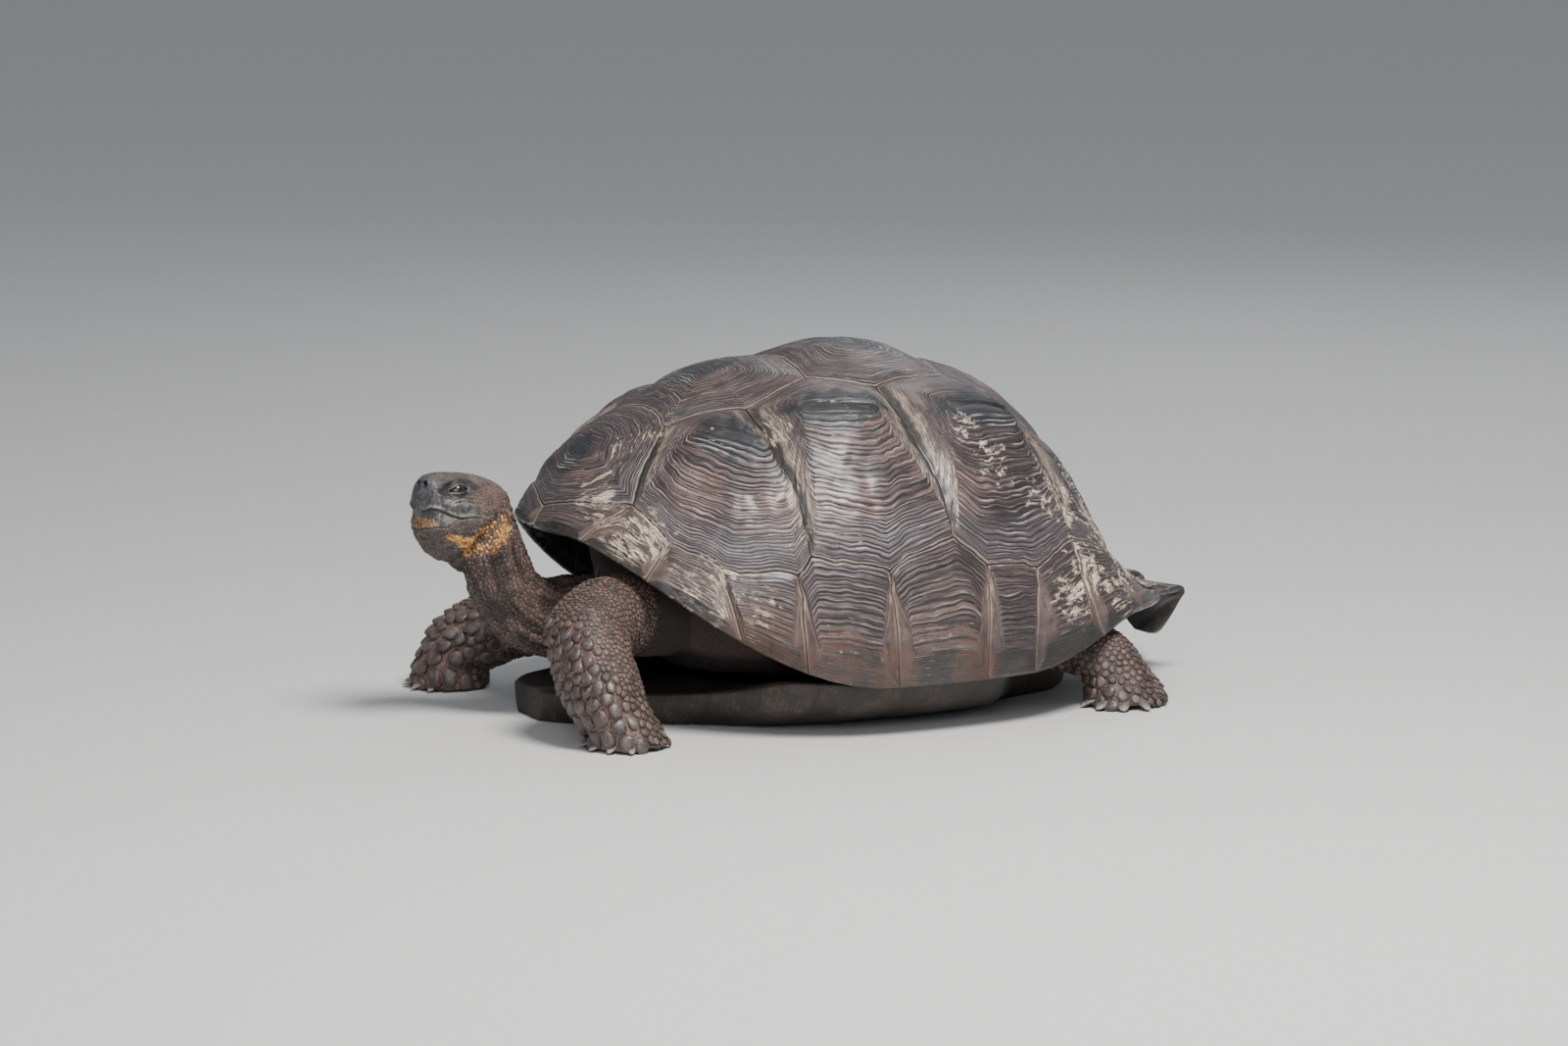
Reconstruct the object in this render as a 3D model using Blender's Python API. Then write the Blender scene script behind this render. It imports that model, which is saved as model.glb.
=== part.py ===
"""A life-size giant tortoise of the Santa Cruz kind, standing low on its legs with its head raised.

Metres, +Z up. The animal faces -Y and its left side is +X. The origin is on the floor, under the
middle of the animal's box. Every plate of the shell, the trunk, neck, head, eyes, tail and legs is
an object of its own, and neighbours keep a thin gap.
"""

import math

import bmesh
import bpy
from mathutils import Matrix, Vector

# Driving dimensions.
GAP = 0.0004
MIDDLE_SHIFT = 0.006  # moves the whole animal back, so that the origin is under the middle of its box
PLATE_INSET = 0.0008
SHELL_HALF_WIDTH = 0.425
SHELL_FRONT = 0.480
SHELL_REAR = 0.615
SHELL_CENTRE_Y = 0.016
APEX = Vector((0.0, 0.056, 0.563))
RIM_LOW = 0.083
RIM_FRONT_RISE = 0.225
RIM_REAR_RISE = 0.067
TAIL_POINT = 0.055
SUPRACAUDAL_DROP = 0.085
PLATE_THICKNESS = 0.012
RIM_THICKNESS = 0.015
BODY_CLEARANCE = 0.010
PLASTRON_TOP = 0.050
HEAD_LENGTH = 0.142
HEAD_YAW = math.radians(19)
HEAD_PITCH = math.radians(7)
HEAD_BASE = Vector((-0.005, -0.540, 0.365))
EYE_RADIUS = 0.0125
ANKLE_HEIGHT = 0.060

# Where the seams of the shell meet, on the left side: (degrees round from the front, share of the
# way from the top of the dome down to the rim).
JUNCTIONS = {
    "front": (0.0, 0.885),
    "front_side": (19.0, 0.833),
    "v1_c1_m": (28.2, 0.772),
    "v1_v2": (0.0, 0.425),
    "v1_v2_c1": (21.5, 0.490),
    "v2_c1_bow": (31.0, 0.400),
    "v2_c1_c2": (44.0, 0.362),
    "v2_v3": (0.0, 0.100),
    "v2_v3_c2": (60.0, 0.205),
    "v3_c2_c3": (96.0, 0.258),
    "v3_v4": (180.0, 0.130),
    "v3_v4_c3": (140.5, 0.203),
    "v4_c3_c4": (140.0, 0.305),
    "v4_v5": (180.0, 0.400),
    "v4_v5_c4": (162.0, 0.430),
    "c1_c2_m": (69.8, 0.750),
    "c2_c3_m": (99.5, 0.705),
    "c3_c4_bow": (137.0, 0.480),
    "c3_c4_m": (129.2, 0.718),
    "v5_c4_m": (154.8, 0.740),
    "m2_m3": (40.0, 0.830),
    "m3_m4": (51.5, 0.845),
    "m4_m5": (67.2, 0.797),
    "m5_m6": (86.2, 0.780),
    "m6_m7": (105.2, 0.770),
    "m7_m8": (116.2, 0.763),
    "m9_m10": (142.0, 0.745),
    "m11_sc": (168.0, 0.745),
    "rear": (180.0, 0.755),
}

# Where the seams between marginals reach the rim, in degrees round from the front.
RIM_SEAMS = (0.0, 19.0, 36.0, 56.5, 69.0, 87.0, 102.5, 111.5, 128.0, 143.0, 165.5, 170.0)

# The seam junctions along the top of the marginals, and the one above each seam of RIM_SEAMS.
UPPER_EDGE = (
    "front", "front_side", "v1_c1_m", "m2_m3", "m3_m4", "m4_m5", "c1_c2_m", "m5_m6", "c2_c3_m",
    "m6_m7", "m7_m8", "c3_c4_m", "m9_m10", "v5_c4_m", "m11_sc", "rear",
)
SEAM_TOPS = (
    "front", "v1_c1_m", "m2_m3", "m3_m4", "m4_m5", "m5_m6", "m6_m7", "m7_m8", "c3_c4_m", "m9_m10",
    "v5_c4_m", "m11_sc",
)

COSTAL_OUTLINES = (
    ("v1_c1_m", "v1_v2_c1", "v2_c1_bow", "v2_c1_c2", "c1_c2_m", "m4_m5", "m3_m4", "m2_m3"),
    ("v2_c1_c2", "v2_v3_c2", "v3_c2_c3", "c2_c3_m", "m5_m6", "c1_c2_m"),
    ("v3_c2_c3", "v3_v4_c3", "v4_c3_c4", "c3_c4_bow", "c3_c4_m", "m7_m8", "m6_m7", "c2_c3_m"),
    ("v4_c3_c4", "v4_v5_c4", "v5_c4_m", "m9_m10", "c3_c4_m", "c3_c4_bow"),
)
# The left half of each vertebral, from the midline in front round to the midline behind.
VERTEBRAL_HALVES = (
    ("front", "front_side", "v1_c1_m", "v1_v2_c1", "v1_v2"),
    ("v1_v2", "v1_v2_c1", "v2_c1_bow", "v2_c1_c2", "v2_v3_c2", "v2_v3"),
    ("v2_v3", "v2_v3_c2", "v3_c2_c3", "v3_v4_c3", "v3_v4"),
    ("v3_v4", "v3_v4_c3", "v4_c3_c4", "v4_v5_c4", "v4_v5"),
    ("v4_v5", "v4_v5_c4", "v5_c4_m", "m11_sc", "rear"),
)
# The hump's centre on each plate: (degrees round, share of the way down), and its height.
VERTEBRAL_HUMPS = (
    (0.0, 0.640, 0.012), (0.0, 0.270, 0.014), (180.0, 0.020, 0.020), (180.0, 0.270, 0.007),
    (180.0, 0.560, 0.003),
)
COSTAL_HUMPS = ((46.0, 0.470, 0.018), (75.0, 0.350, 0.018), (125.0, 0.340, 0.017), (150.0, 0.500, 0.005))
MARGINAL_HUMP = 0.004
CHART_STEP = 0.10  # the longest side of a plate's facets, as a share of the dome


def smooth(share):
    share = min(max(share, 0.0), 1.0)
    return share * share * (3 - 2 * share)


def folded(degrees):
    """The same direction counted from the front on either side, 0 to 180."""
    return abs((degrees + 180) % 360 - 180)


def even_rim(degrees):
    """The rim of the shell as a smooth oval, at 0 degrees in front and 180 behind."""
    turn = folded(degrees)
    length = SHELL_FRONT if turn < 90 else SHELL_REAR
    return Vector((
        SHELL_HALF_WIDTH * math.sin(math.radians(degrees)),
        SHELL_CENTRE_Y - length * math.cos(math.radians(degrees)),
        RIM_LOW + RIM_FRONT_RISE * smooth((85 - turn) / 73) + RIM_REAR_RISE * smooth((turn - 110) / 32),
    ))


def tail_edge(degrees):
    """How the rim's rear end leaves the oval: corners that stick out beside a plate that hangs down."""
    turn = folded(degrees)
    to_point = smooth((turn - 162) / 9)
    to_middle = smooth((turn - 168) / 12)
    return Vector((0, TAIL_POINT * to_point * (1 - 0.5 * to_middle), -SUPRACAUDAL_DROP * to_middle))


def by_direction(degrees, front, side, rear):
    """A value that turns smoothly from front through side to rear."""
    forward = math.cos(math.radians(degrees))
    return side + ((front if forward > 0 else rear) - side) * forward * forward


def dome_point(degrees, share):
    """The shell without its humps: a cubic arch from the top of the dome down to the rim."""
    rim = even_rim(degrees)
    crown = by_direction(degrees, 0.590, 0.583, 0.800)
    flank = by_direction(degrees, 0.363, 0.619, -0.070)
    lean = by_direction(degrees, 0.080, 0.030, 0.275)
    near_top = 3 * share * (1 - share) ** 2
    near_rim = 3 * share * share * (1 - share)
    outward = near_top * crown + near_rim * (1 - lean) + share ** 3
    downward = near_rim * (1 - flank) + share ** 3
    return Vector((
        APEX.x + (rim.x - APEX.x) * outward,
        APEX.y + (rim.y - APEX.y) * outward,
        APEX.z + (rim.z - APEX.z) * downward,
    )) + tail_edge(degrees) * smooth((share - 0.72) / 0.28)


def dome_at(place):
    """The dome over a place in the flat chart, whose unit circle is the rim and whose -Y is front."""
    return dome_point(math.degrees(math.atan2(place.x, -place.y)), place.length)


def dome_normal(place):
    """The outward direction there, from two short steps in the chart."""
    step = 0.01
    if place.length > 1 - 2 * step:
        place = place * ((1 - 2 * step) / place.length)
    across = dome_at(place + Vector((step, 0))) - dome_at(place - Vector((step, 0)))
    along = dome_at(place + Vector((0, step))) - dome_at(place - Vector((0, step)))
    return across.cross(along).normalized()


def chart(degrees, share):
    return Vector((math.sin(math.radians(degrees)), -math.cos(math.radians(degrees)))) * share


def mirrored(places):
    return [Vector((-place.x, place.y)) for place in reversed(places)]


def split_evenly(corners, spacing):
    """The closed outline through the corners, each side cut into equal steps."""
    outline = []
    for start, end in zip(corners, corners[1:] + corners[:1]):
        steps = max(1, round((end - start).length / spacing))
        outline += [start.lerp(end, step / steps) for step in range(steps)]
    return outline


def material(name, colour, roughness):
    made = bpy.data.materials.new(name)
    made.use_nodes = True
    shader = made.node_tree.nodes["Principled BSDF"]
    shader.inputs["Base Color"].default_value = (*colour, 1.0)
    shader.inputs["Roughness"].default_value = roughness
    shader.inputs["Metallic"].default_value = 0.0
    return made


def add_object(name, mesh, finish, collection):
    mesh.transform(Matrix.Translation((0, MIDDLE_SHIFT, 0)))
    made = bpy.data.objects.new(name, mesh)
    mesh.materials.append(finish)
    mesh.shade_smooth()
    mesh.set_sharp_from_angle(angle=math.radians(40))
    collection.objects.link(made)
    return made


def loft(rings, start_tip=None, end_tip=None):
    """A closed skin over rings of equal count. A tip closes an end with a fan, and no tip with a flat face.

    Each four-sided patch is split along its shorter diagonal, so that neighbouring plates agree.
    """
    grid = bmesh.new()
    rows = [[grid.verts.new(point) for point in ring] for ring in rings]
    for upper, lower in zip(rows, rows[1:]):
        for i in range(len(upper)):
            a, b, c, d = upper[i], upper[(i + 1) % len(upper)], lower[(i + 1) % len(upper)], lower[i]
            if (a.co - c.co).length > (b.co - d.co).length:
                a, b, c, d = b, c, d, a
            grid.faces.new((a, b, c))
            grid.faces.new((a, c, d))
    for row, tip in ((rows[0], start_tip), (rows[-1], end_tip)):
        if tip is None:
            grid.faces.new(row)
            continue
        point = grid.verts.new(tip)
        for i in range(len(row)):
            grid.faces.new((row[i], row[(i + 1) % len(row)], point))
    bmesh.ops.recalc_face_normals(grid, faces=grid.faces)
    mesh = bpy.data.meshes.new("loft")
    grid.to_mesh(mesh)
    grid.free()
    return mesh


def inset_place(centre, corner, share, inset):
    """A place on the way from a plate's centre to a corner that is moved in by a length in metres."""
    reach = (dome_at(corner) - dome_at(centre)).length
    return centre.lerp(corner, share * (1 - inset / reach))


def plate_depth(share):
    """The plate's thickness: even under the dome, thicker towards the rim, and thinner at its lip."""
    thickened = (RIM_THICKNESS - PLATE_THICKNESS) * smooth((share - 0.75) / 0.2)
    return (PLATE_THICKNESS + thickened) * (1 - 0.45 * smooth((share - 0.94) / 0.06))


def plate_mesh(centre, outline, hump, outer_rows, inner_rows):
    """One horny plate with the bone under it: crowned outside, following the dome inside.

    Its edge is undercut a little, so that the seam to the next plate opens inwards.
    """
    rings = []
    for row in outer_rows:
        places = [inset_place(centre, corner, row, PLATE_INSET) for corner in outline]
        crown = hump * (1 - row * row)
        rings.append([dome_at(place) + dome_normal(place) * crown for place in places])
    for row in inner_rows:
        places = [inset_place(centre, corner, row, 2 * PLATE_INSET) for corner in outline]
        rings.append([dome_at(place) - dome_normal(place) * plate_depth(place.length) for place in places])
    top = dome_at(centre) + dome_normal(centre) * hump
    bottom = dome_at(centre) - dome_normal(centre) * (plate_depth(centre.length) + 0.001)
    return loft(rings, top, bottom)


def add_vertebrals(finish, collection):
    for number, (names, (degrees, share, hump)) in enumerate(zip(VERTEBRAL_HALVES, VERTEBRAL_HUMPS), 1):
        half = [chart(*JUNCTIONS[name]) for name in names]
        outline = split_evenly(half + mirrored(half[1:-1]), CHART_STEP)
        mesh = plate_mesh(chart(degrees, share), outline, hump, (0.35, 0.65, 0.9, 1.0), (1.0, 0.5))
        add_object(f"vertebral_{number}", mesh, finish, collection)


def add_costals(finish, collection):
    for number, (names, (degrees, share, hump)) in enumerate(zip(COSTAL_OUTLINES, COSTAL_HUMPS), 1):
        half = [chart(*JUNCTIONS[name]) for name in names]
        centre = chart(degrees, share)
        for side, corners, middle in (
            ("left", half, centre),
            ("right", mirrored(half), mirrored([centre])[0]),
        ):
            outline = split_evenly(corners, CHART_STEP)
            mesh = plate_mesh(middle, outline, hump, (0.35, 0.65, 0.9, 1.0), (1.0, 0.5))
            add_object(f"costal_{side}_{number}", mesh, finish, collection)


def rim_corners(start, end):
    """Places along the rim from one angle to another, about every four degrees."""
    steps = max(1, round(abs(end - start) / 4))
    return [chart(start + (end - start) * step / steps, 1.0) for step in range(steps + 1)]


def marginal_outline(number):
    """The corners of a left marginal: its upper edge from front to rear, then the rim back again."""
    first = UPPER_EDGE.index(SEAM_TOPS[number - 1])
    last = UPPER_EDGE.index(SEAM_TOPS[number])
    upper = [chart(*JUNCTIONS[name]) for name in UPPER_EDGE[first:last + 1]]
    return upper + rim_corners(RIM_SEAMS[number], RIM_SEAMS[number - 1])


def middle_of(corners):
    return sum(corners, Vector((0, 0))) / len(corners)


def add_marginals(finish, collection):
    for number in range(1, len(RIM_SEAMS)):
        half = marginal_outline(number)
        for side, corners in (("left", half), ("right", mirrored(half))):
            outline = split_evenly(corners, CHART_STEP)
            mesh = plate_mesh(middle_of(corners), outline, MARGINAL_HUMP, (0.55, 1.0), (1.0, 0.55))
            add_object(f"marginal_{side}_{number}", mesh, finish, collection)


def add_supracaudal(finish, collection):
    """The single plate over the tail, which hangs lower than the corners beside it."""
    upper = [chart(*JUNCTIONS[name]) for name in ("m11_sc", "rear")]
    corners = upper + mirrored(upper[:1]) + rim_corners(360 - RIM_SEAMS[-1], RIM_SEAMS[-1])
    outline = split_evenly(corners, CHART_STEP)
    mesh = plate_mesh(middle_of(corners), outline, MARGINAL_HUMP, (0.55, 1.0), (1.0, 0.55))
    add_object("supracaudal", mesh, finish, collection)


def ring_at(centre, forward, half_width, half_height, count=12, squareness=0.9):
    """A rounded ring across the direction forward, level from side to side."""
    rise = Vector((-1, 0, 0)).cross(Vector(forward)).normalized()
    side = Vector(forward).cross(rise).normalized()
    ring = []
    for step in range(count):
        turn = 2 * math.pi * step / count
        across = math.copysign(abs(math.cos(turn)) ** squareness, math.cos(turn))
        lift = math.copysign(abs(math.sin(turn)) ** squareness, math.sin(turn))
        ring.append(Vector(centre) + side * (half_width * across) + rise * (half_height * lift))
    return ring


def limb_mesh(stations):
    """A limb along its stations (x, y, z, half-width, half-depth), ending in a flat sole on the floor."""
    rings = []
    for index, (x, y, z, half_width, half_depth) in enumerate(stations):
        forward = Vector((0, 0, -1))
        if z > ANKLE_HEIGHT:
            before = Vector(stations[max(index - 1, 0)][:3])
            after = Vector(stations[index + 1][:3])
            forward = after - before
        rings.append(ring_at((x, y, z), forward, half_width, half_depth))
    return loft(rings)


LEFT_FORELEG = (
    (0.132, -0.280, 0.168, 0.060, 0.066),
    (0.160, -0.365, 0.184, 0.062, 0.068),
    (0.202, -0.428, 0.190, 0.066, 0.067),
    (0.242, -0.466, 0.172, 0.068, 0.066),
    (0.272, -0.468, 0.122, 0.066, 0.064),
    (0.290, -0.448, 0.060, 0.064, 0.063),
    (0.299, -0.424, 0.018, 0.068, 0.066),
    (0.300, -0.420, 0.0, 0.064, 0.062),
)
RIGHT_FORELEG = (
    (-0.150, -0.220, 0.138, 0.064, 0.062),
    (-0.185, -0.320, 0.130, 0.064, 0.064),
    (-0.235, -0.405, 0.112, 0.062, 0.062),
    (-0.275, -0.460, 0.084, 0.060, 0.062),
    (-0.298, -0.484, 0.045, 0.062, 0.062),
    (-0.304, -0.488, 0.015, 0.068, 0.066),
    (-0.304, -0.486, 0.0, 0.064, 0.062),
)
LEFT_HINDLEG = (
    (0.150, 0.230, 0.118, 0.060, 0.052),
    (0.200, 0.325, 0.112, 0.058, 0.052),
    (0.248, 0.400, 0.092, 0.055, 0.052),
    (0.282, 0.442, 0.056, 0.055, 0.056),
    (0.298, 0.454, 0.015, 0.060, 0.070),
    (0.300, 0.452, 0.0, 0.056, 0.066),
)


def head_frame():
    """Turns head coordinates (left, back, up) from its base, where -Y is the way the snout points."""
    turn = Matrix.Rotation(HEAD_YAW, 4, "Z") @ Matrix.Rotation(-HEAD_PITCH, 4, "X")
    return Matrix.Translation(HEAD_BASE) @ turn


# Along the head from the nape to the beak: (distance, level of the middle, lean in degrees, half-width,
# half-height). The throat hangs well below the jaw.
HEAD_STATIONS = (
    (0.008, -0.034, 48, 0.050, 0.058),
    (0.030, -0.036, 28, 0.055, 0.069),
    (0.055, -0.040, 12, 0.054, 0.074),
    (0.080, -0.038, 5, 0.049, 0.072),
    (0.104, -0.032, 3, 0.042, 0.065),
    (0.123, -0.025, 2, 0.035, 0.055),
    (0.135, -0.020, 0, 0.028, 0.044),
)


def head_ring(distance, level, lean, half_width, half_height):
    forward = (0, -math.cos(math.radians(lean)), math.sin(math.radians(lean)))
    place = head_frame()
    ring = ring_at((0, -distance, level), forward, half_width, half_height, 16)
    return [place @ point for point in ring]


def head_mesh():
    rings = [head_ring(*station) for station in HEAD_STATIONS]
    return loft(rings, None, head_frame() @ Vector((0, -HEAD_LENGTH, -0.020)))


NECK_STATIONS = (
    ((0.000, -0.250, 0.150), (0.0, -1.0, 0.00), 0.078, 0.072),
    ((0.000, -0.385, 0.150), (0.0, -1.0, 0.15), 0.078, 0.070),
    ((0.000, -0.468, 0.166), (0.0, -0.8, 0.60), 0.068, 0.064),
    ((0.000, -0.512, 0.212), (0.0, -0.45, 0.9), 0.060, 0.056),
    ((0.002, -0.530, 0.268), (0.0, -0.25, 1.0), 0.054, 0.052),
)


def neck_mesh():
    """From inside the front of the trunk up to the nape, whose ring it matches with a thin gap."""
    rings = [ring_at(*station, 16) for station in NECK_STATIONS]
    distance, level, lean, half_width, half_height = HEAD_STATIONS[0]
    back = distance - GAP * math.cos(math.radians(lean))
    down = level - GAP * math.sin(math.radians(lean))
    rings.append(head_ring(back, down, lean, half_width, half_height))
    return loft(rings)


def trunk_mesh(growth):
    """The body inside the shell: it follows the dome under the plates and tucks in above the plastron."""
    rings = []
    for share in (0.25, 0.50, 0.68):
        rings.append([trunk_point(step * 18, share, growth) for step in range(20)])
    for reach, height in ((0.78, 0.115), (0.62, PLASTRON_TOP + 0.020 - growth)):
        ring = []
        for step in range(20):
            rim = even_rim(step * 18)
            out = Vector((rim.x, (rim.y - APEX.y) * 0.92, 0)) * reach
            ring.append(Vector((0, APEX.y, height)) + out + out.normalized() * growth)
        rings.append(ring)
    return loft(rings, trunk_point(0, 0.0, growth), None)


def trunk_point(degrees, share, growth):
    place = chart(degrees, share)
    return dome_at(place) - dome_normal(place) * (PLATE_THICKNESS + BODY_CLEARANCE - growth)


# Along the plastron: (y, half-width of the flat belly, half-width at its upper edge, height of that edge).
PLASTRON_STATIONS = (
    (-0.470, 0.045, 0.060, 0.046),
    (-0.440, 0.085, 0.105, 0.048),
    (-0.330, 0.135, 0.165, 0.050),
    (-0.235, 0.190, 0.255, 0.062),
    (-0.170, 0.235, 0.355, 0.090),
    (-0.060, 0.255, 0.398, 0.086),
    (0.080, 0.255, 0.400, 0.084),
    (0.200, 0.235, 0.378, 0.082),
    (0.280, 0.180, 0.240, 0.060),
    (0.400, 0.135, 0.160, 0.050),
    (0.450, 0.070, 0.085, 0.046),
)


def plastron_mesh(clearance):
    """The belly plate, flat on the floor, with bridges that rise towards the shell on each side."""
    rings = []
    for y, flat, upper, height in PLASTRON_STATIONS:
        half = (
            (0.0, -clearance), (flat * 0.6, -clearance), (flat + clearance, -clearance),
            (upper * 0.90 + clearance, height * 0.36), (upper + clearance, height),
            (upper * 0.93, height + 0.003 + clearance), (upper * 0.7, PLASTRON_TOP + clearance),
            (0.0, PLASTRON_TOP + clearance),
        )
        left = [Vector((x, y, z)) for x, z in half]
        right = [Vector((-x, y, z)) for x, z in reversed(half[1:-1])]
        rings.append(left + right)
    return loft(rings)


def tail_mesh():
    """A short thick tail, bent down and to the left under the shell."""
    stations = (
        ((0.0, 0.300, 0.120), (0.0, 1.0, -0.1), 0.060, 0.055),
        ((0.0, 0.420, 0.110), (0.0, 1.0, -0.2), 0.048, 0.044),
        ((0.004, 0.500, 0.088), (0.1, 0.9, -0.5), 0.034, 0.033),
        ((0.014, 0.545, 0.055), (0.3, 0.6, -0.8), 0.022, 0.022),
        ((0.026, 0.562, 0.026), (0.4, 0.4, -0.8), 0.012, 0.012),
    )
    rings = []
    for centre, forward, half_width, half_height in stations:
        rings.append(ring_at(centre, forward, half_width, half_height, 10))
    return loft(rings, None, Vector((0.033, 0.566, 0.010)))


def cut(target, cutter):
    modifier = target.modifiers.new(f"clear of {cutter.name}", "BOOLEAN")
    modifier.operation = "DIFFERENCE"
    modifier.object = cutter


def add_cutter(name, mesh, collection):
    mesh.transform(Matrix.Translation((0, MIDDLE_SHIFT, 0)))
    made = bpy.data.objects.new(name, mesh)
    made.hide_render = True
    made.display_type = "WIRE"
    collection.objects.link(made)
    return made


def add_eye(name, side, finish, head, body, cutters):
    """An eyeball set in a socket that is wider by the gap."""
    place = head_frame() @ Matrix.Translation((side * 0.036, -0.083, 0.010))
    for label, radius in ((name, EYE_RADIUS), (f"{name}_socket", EYE_RADIUS + GAP)):
        ball = bmesh.new()
        bmesh.ops.create_uvsphere(ball, u_segments=12, v_segments=8, radius=radius)
        mesh = bpy.data.meshes.new(label)
        ball.to_mesh(mesh)
        ball.free()
        mesh.transform(place)
        if label == name:
            add_object(name, mesh, finish, body)
        else:
            cut(head, add_cutter(label, mesh, cutters))


def flipped(stations):
    return [(-station[0], *station[1:]) for station in stations]


def build():
    for old in list(bpy.data.objects):
        bpy.data.objects.remove(old, do_unlink=True)
    body = bpy.data.collections.new("giant tortoise")
    cutters = bpy.data.collections.new("cutters")
    for collection in (body, cutters):
        bpy.context.scene.collection.children.link(collection)

    horn = material("shell horn", (0.115, 0.085, 0.078), 0.55)
    belly = material("plastron horn", (0.060, 0.048, 0.042), 0.60)
    skin = material("scaly skin", (0.155, 0.090, 0.068), 0.75)
    eye = material("eye", (0.012, 0.010, 0.010), 0.15)

    add_vertebrals(horn, body)
    add_costals(horn, body)
    add_marginals(horn, body)
    add_supracaudal(horn, body)
    add_object("plastron", plastron_mesh(0.0), belly, body)
    add_object("trunk", trunk_mesh(0.0), skin, body)

    trunk_room = add_cutter("trunk_room", trunk_mesh(GAP), cutters)
    plastron_room = add_cutter("plastron_room", plastron_mesh(GAP), cutters)
    head = add_object("head", head_mesh(), skin, body)
    for name, side in (("eye_left", 1), ("eye_right", -1)):
        add_eye(name, side, eye, head, body, cutters)
    for name, mesh in (
        ("neck", neck_mesh()),
        ("tail", tail_mesh()),
        ("foreleg_left", limb_mesh(LEFT_FORELEG)),
        ("foreleg_right", limb_mesh(RIGHT_FORELEG)),
        ("hindleg_left", limb_mesh(LEFT_HINDLEG)),
        ("hindleg_right", limb_mesh(flipped(LEFT_HINDLEG))),
    ):
        limb = add_object(name, mesh, skin, body)
        cut(limb, trunk_room)
        if name.startswith("hindleg"):
            cut(limb, plastron_room)


build()
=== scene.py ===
import math

import bmesh
import bpy
import numpy as np
from mathutils import Matrix, Vector
from mathutils.bvhtree import BVHTree
from mathutils.kdtree import KDTree


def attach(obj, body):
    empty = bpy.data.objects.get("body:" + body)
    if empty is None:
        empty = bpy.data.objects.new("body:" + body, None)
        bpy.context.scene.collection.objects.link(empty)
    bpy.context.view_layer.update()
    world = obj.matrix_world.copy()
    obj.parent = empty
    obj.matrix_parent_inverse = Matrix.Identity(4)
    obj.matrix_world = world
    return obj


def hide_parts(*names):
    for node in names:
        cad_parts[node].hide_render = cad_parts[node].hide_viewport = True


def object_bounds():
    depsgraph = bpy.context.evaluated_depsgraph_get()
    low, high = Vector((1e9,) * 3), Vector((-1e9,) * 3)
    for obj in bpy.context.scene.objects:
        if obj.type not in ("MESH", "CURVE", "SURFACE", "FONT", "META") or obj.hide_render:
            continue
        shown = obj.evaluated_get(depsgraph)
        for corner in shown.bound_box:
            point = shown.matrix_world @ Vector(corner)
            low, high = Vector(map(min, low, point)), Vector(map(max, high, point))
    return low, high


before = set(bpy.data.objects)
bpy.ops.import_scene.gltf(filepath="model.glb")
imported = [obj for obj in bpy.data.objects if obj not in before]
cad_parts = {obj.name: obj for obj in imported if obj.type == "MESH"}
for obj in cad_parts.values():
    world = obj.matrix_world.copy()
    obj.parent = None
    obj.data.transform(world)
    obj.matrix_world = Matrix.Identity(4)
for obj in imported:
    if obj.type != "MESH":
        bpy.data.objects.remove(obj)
cad_low, cad_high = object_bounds()

# The studio: a plain pale floor under the animal, a pale room around, and three broad soft lamps: the
# strongest high on its left, a weaker one in front on its left and a weak one behind on its right. The
# camera looks a little down from the front left.
middle = Vector((-0.065, 0.0135, 0.2735))
azimuth, elevation, distance = math.radians(66), math.radians(9), 10.4
towards = Vector((
    math.sin(azimuth) * math.cos(elevation),
    -math.cos(azimuth) * math.cos(elevation),
    math.sin(elevation),
))
camera = bpy.data.objects.new("camera", bpy.data.cameras.new("camera"))
camera.data.lens = 146.0
camera.data.sensor_width = 36.0
camera.data.clip_end = 200.0
camera.location = middle + towards * distance
camera.rotation_euler = towards.to_track_quat("Z", "Y").to_euler()
bpy.context.scene.collection.objects.link(camera)
bpy.context.scene.camera = camera


def soft_lamp(name, place, aim, width, power, colour):
    lamp = bpy.data.objects.new(name, bpy.data.lights.new(name, "AREA"))
    lamp.data.shape = "DISK"
    lamp.data.size = width
    lamp.data.energy = power
    lamp.data.color = colour
    lamp.location = place
    lamp.rotation_euler = (Vector(place) - Vector(aim)).to_track_quat("Z", "Y").to_euler()
    bpy.context.scene.collection.objects.link(lamp)


belly_level, back_level = (0, 0, 0.2), (0, 0, 0.3)
soft_lamp("key_lamp", (2.6, 0.0, 4.0), belly_level, width=1.6, power=330, colour=(1.0, 0.98, 0.95))
soft_lamp("side_lamp", (4.6, -2.6, 2.2), belly_level, width=2.5, power=80, colour=(0.93, 0.96, 1.0))
soft_lamp("back_lamp", (-3.5, 3.0, 3.5), back_level, width=3.0, power=50, colour=(0.95, 0.97, 1.0))
room = bpy.data.worlds.new("room")
room.use_nodes = True
room.node_tree.nodes["Background"].inputs["Color"].default_value = (0.82, 0.85, 0.90, 1)
room.node_tree.nodes["Background"].inputs["Strength"].default_value = 0.38
bpy.context.scene.world = room


class Wire:
    """An output in a material. The signs between wires and numbers add the Math nodes for them."""

    def __init__(self, tree, socket):
        self.tree = tree
        self.socket = socket

    def sign(self, operation, *terms):
        node = self.tree.nodes.new("ShaderNodeMath")
        node.operation = operation
        for place, term in zip(node.inputs, terms):
            if isinstance(term, Wire):
                self.tree.links.new(term.socket, place)
            else:
                place.default_value = term
        return Wire(self.tree, node.outputs[0])

    def __add__(self, other):
        return self.sign("ADD", self, other)

    def __radd__(self, other):
        return self.sign("ADD", other, self)

    def __sub__(self, other):
        return self.sign("SUBTRACT", self, other)

    def __rsub__(self, other):
        return self.sign("SUBTRACT", other, self)

    def __mul__(self, other):
        return self.sign("MULTIPLY", self, other)


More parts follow.
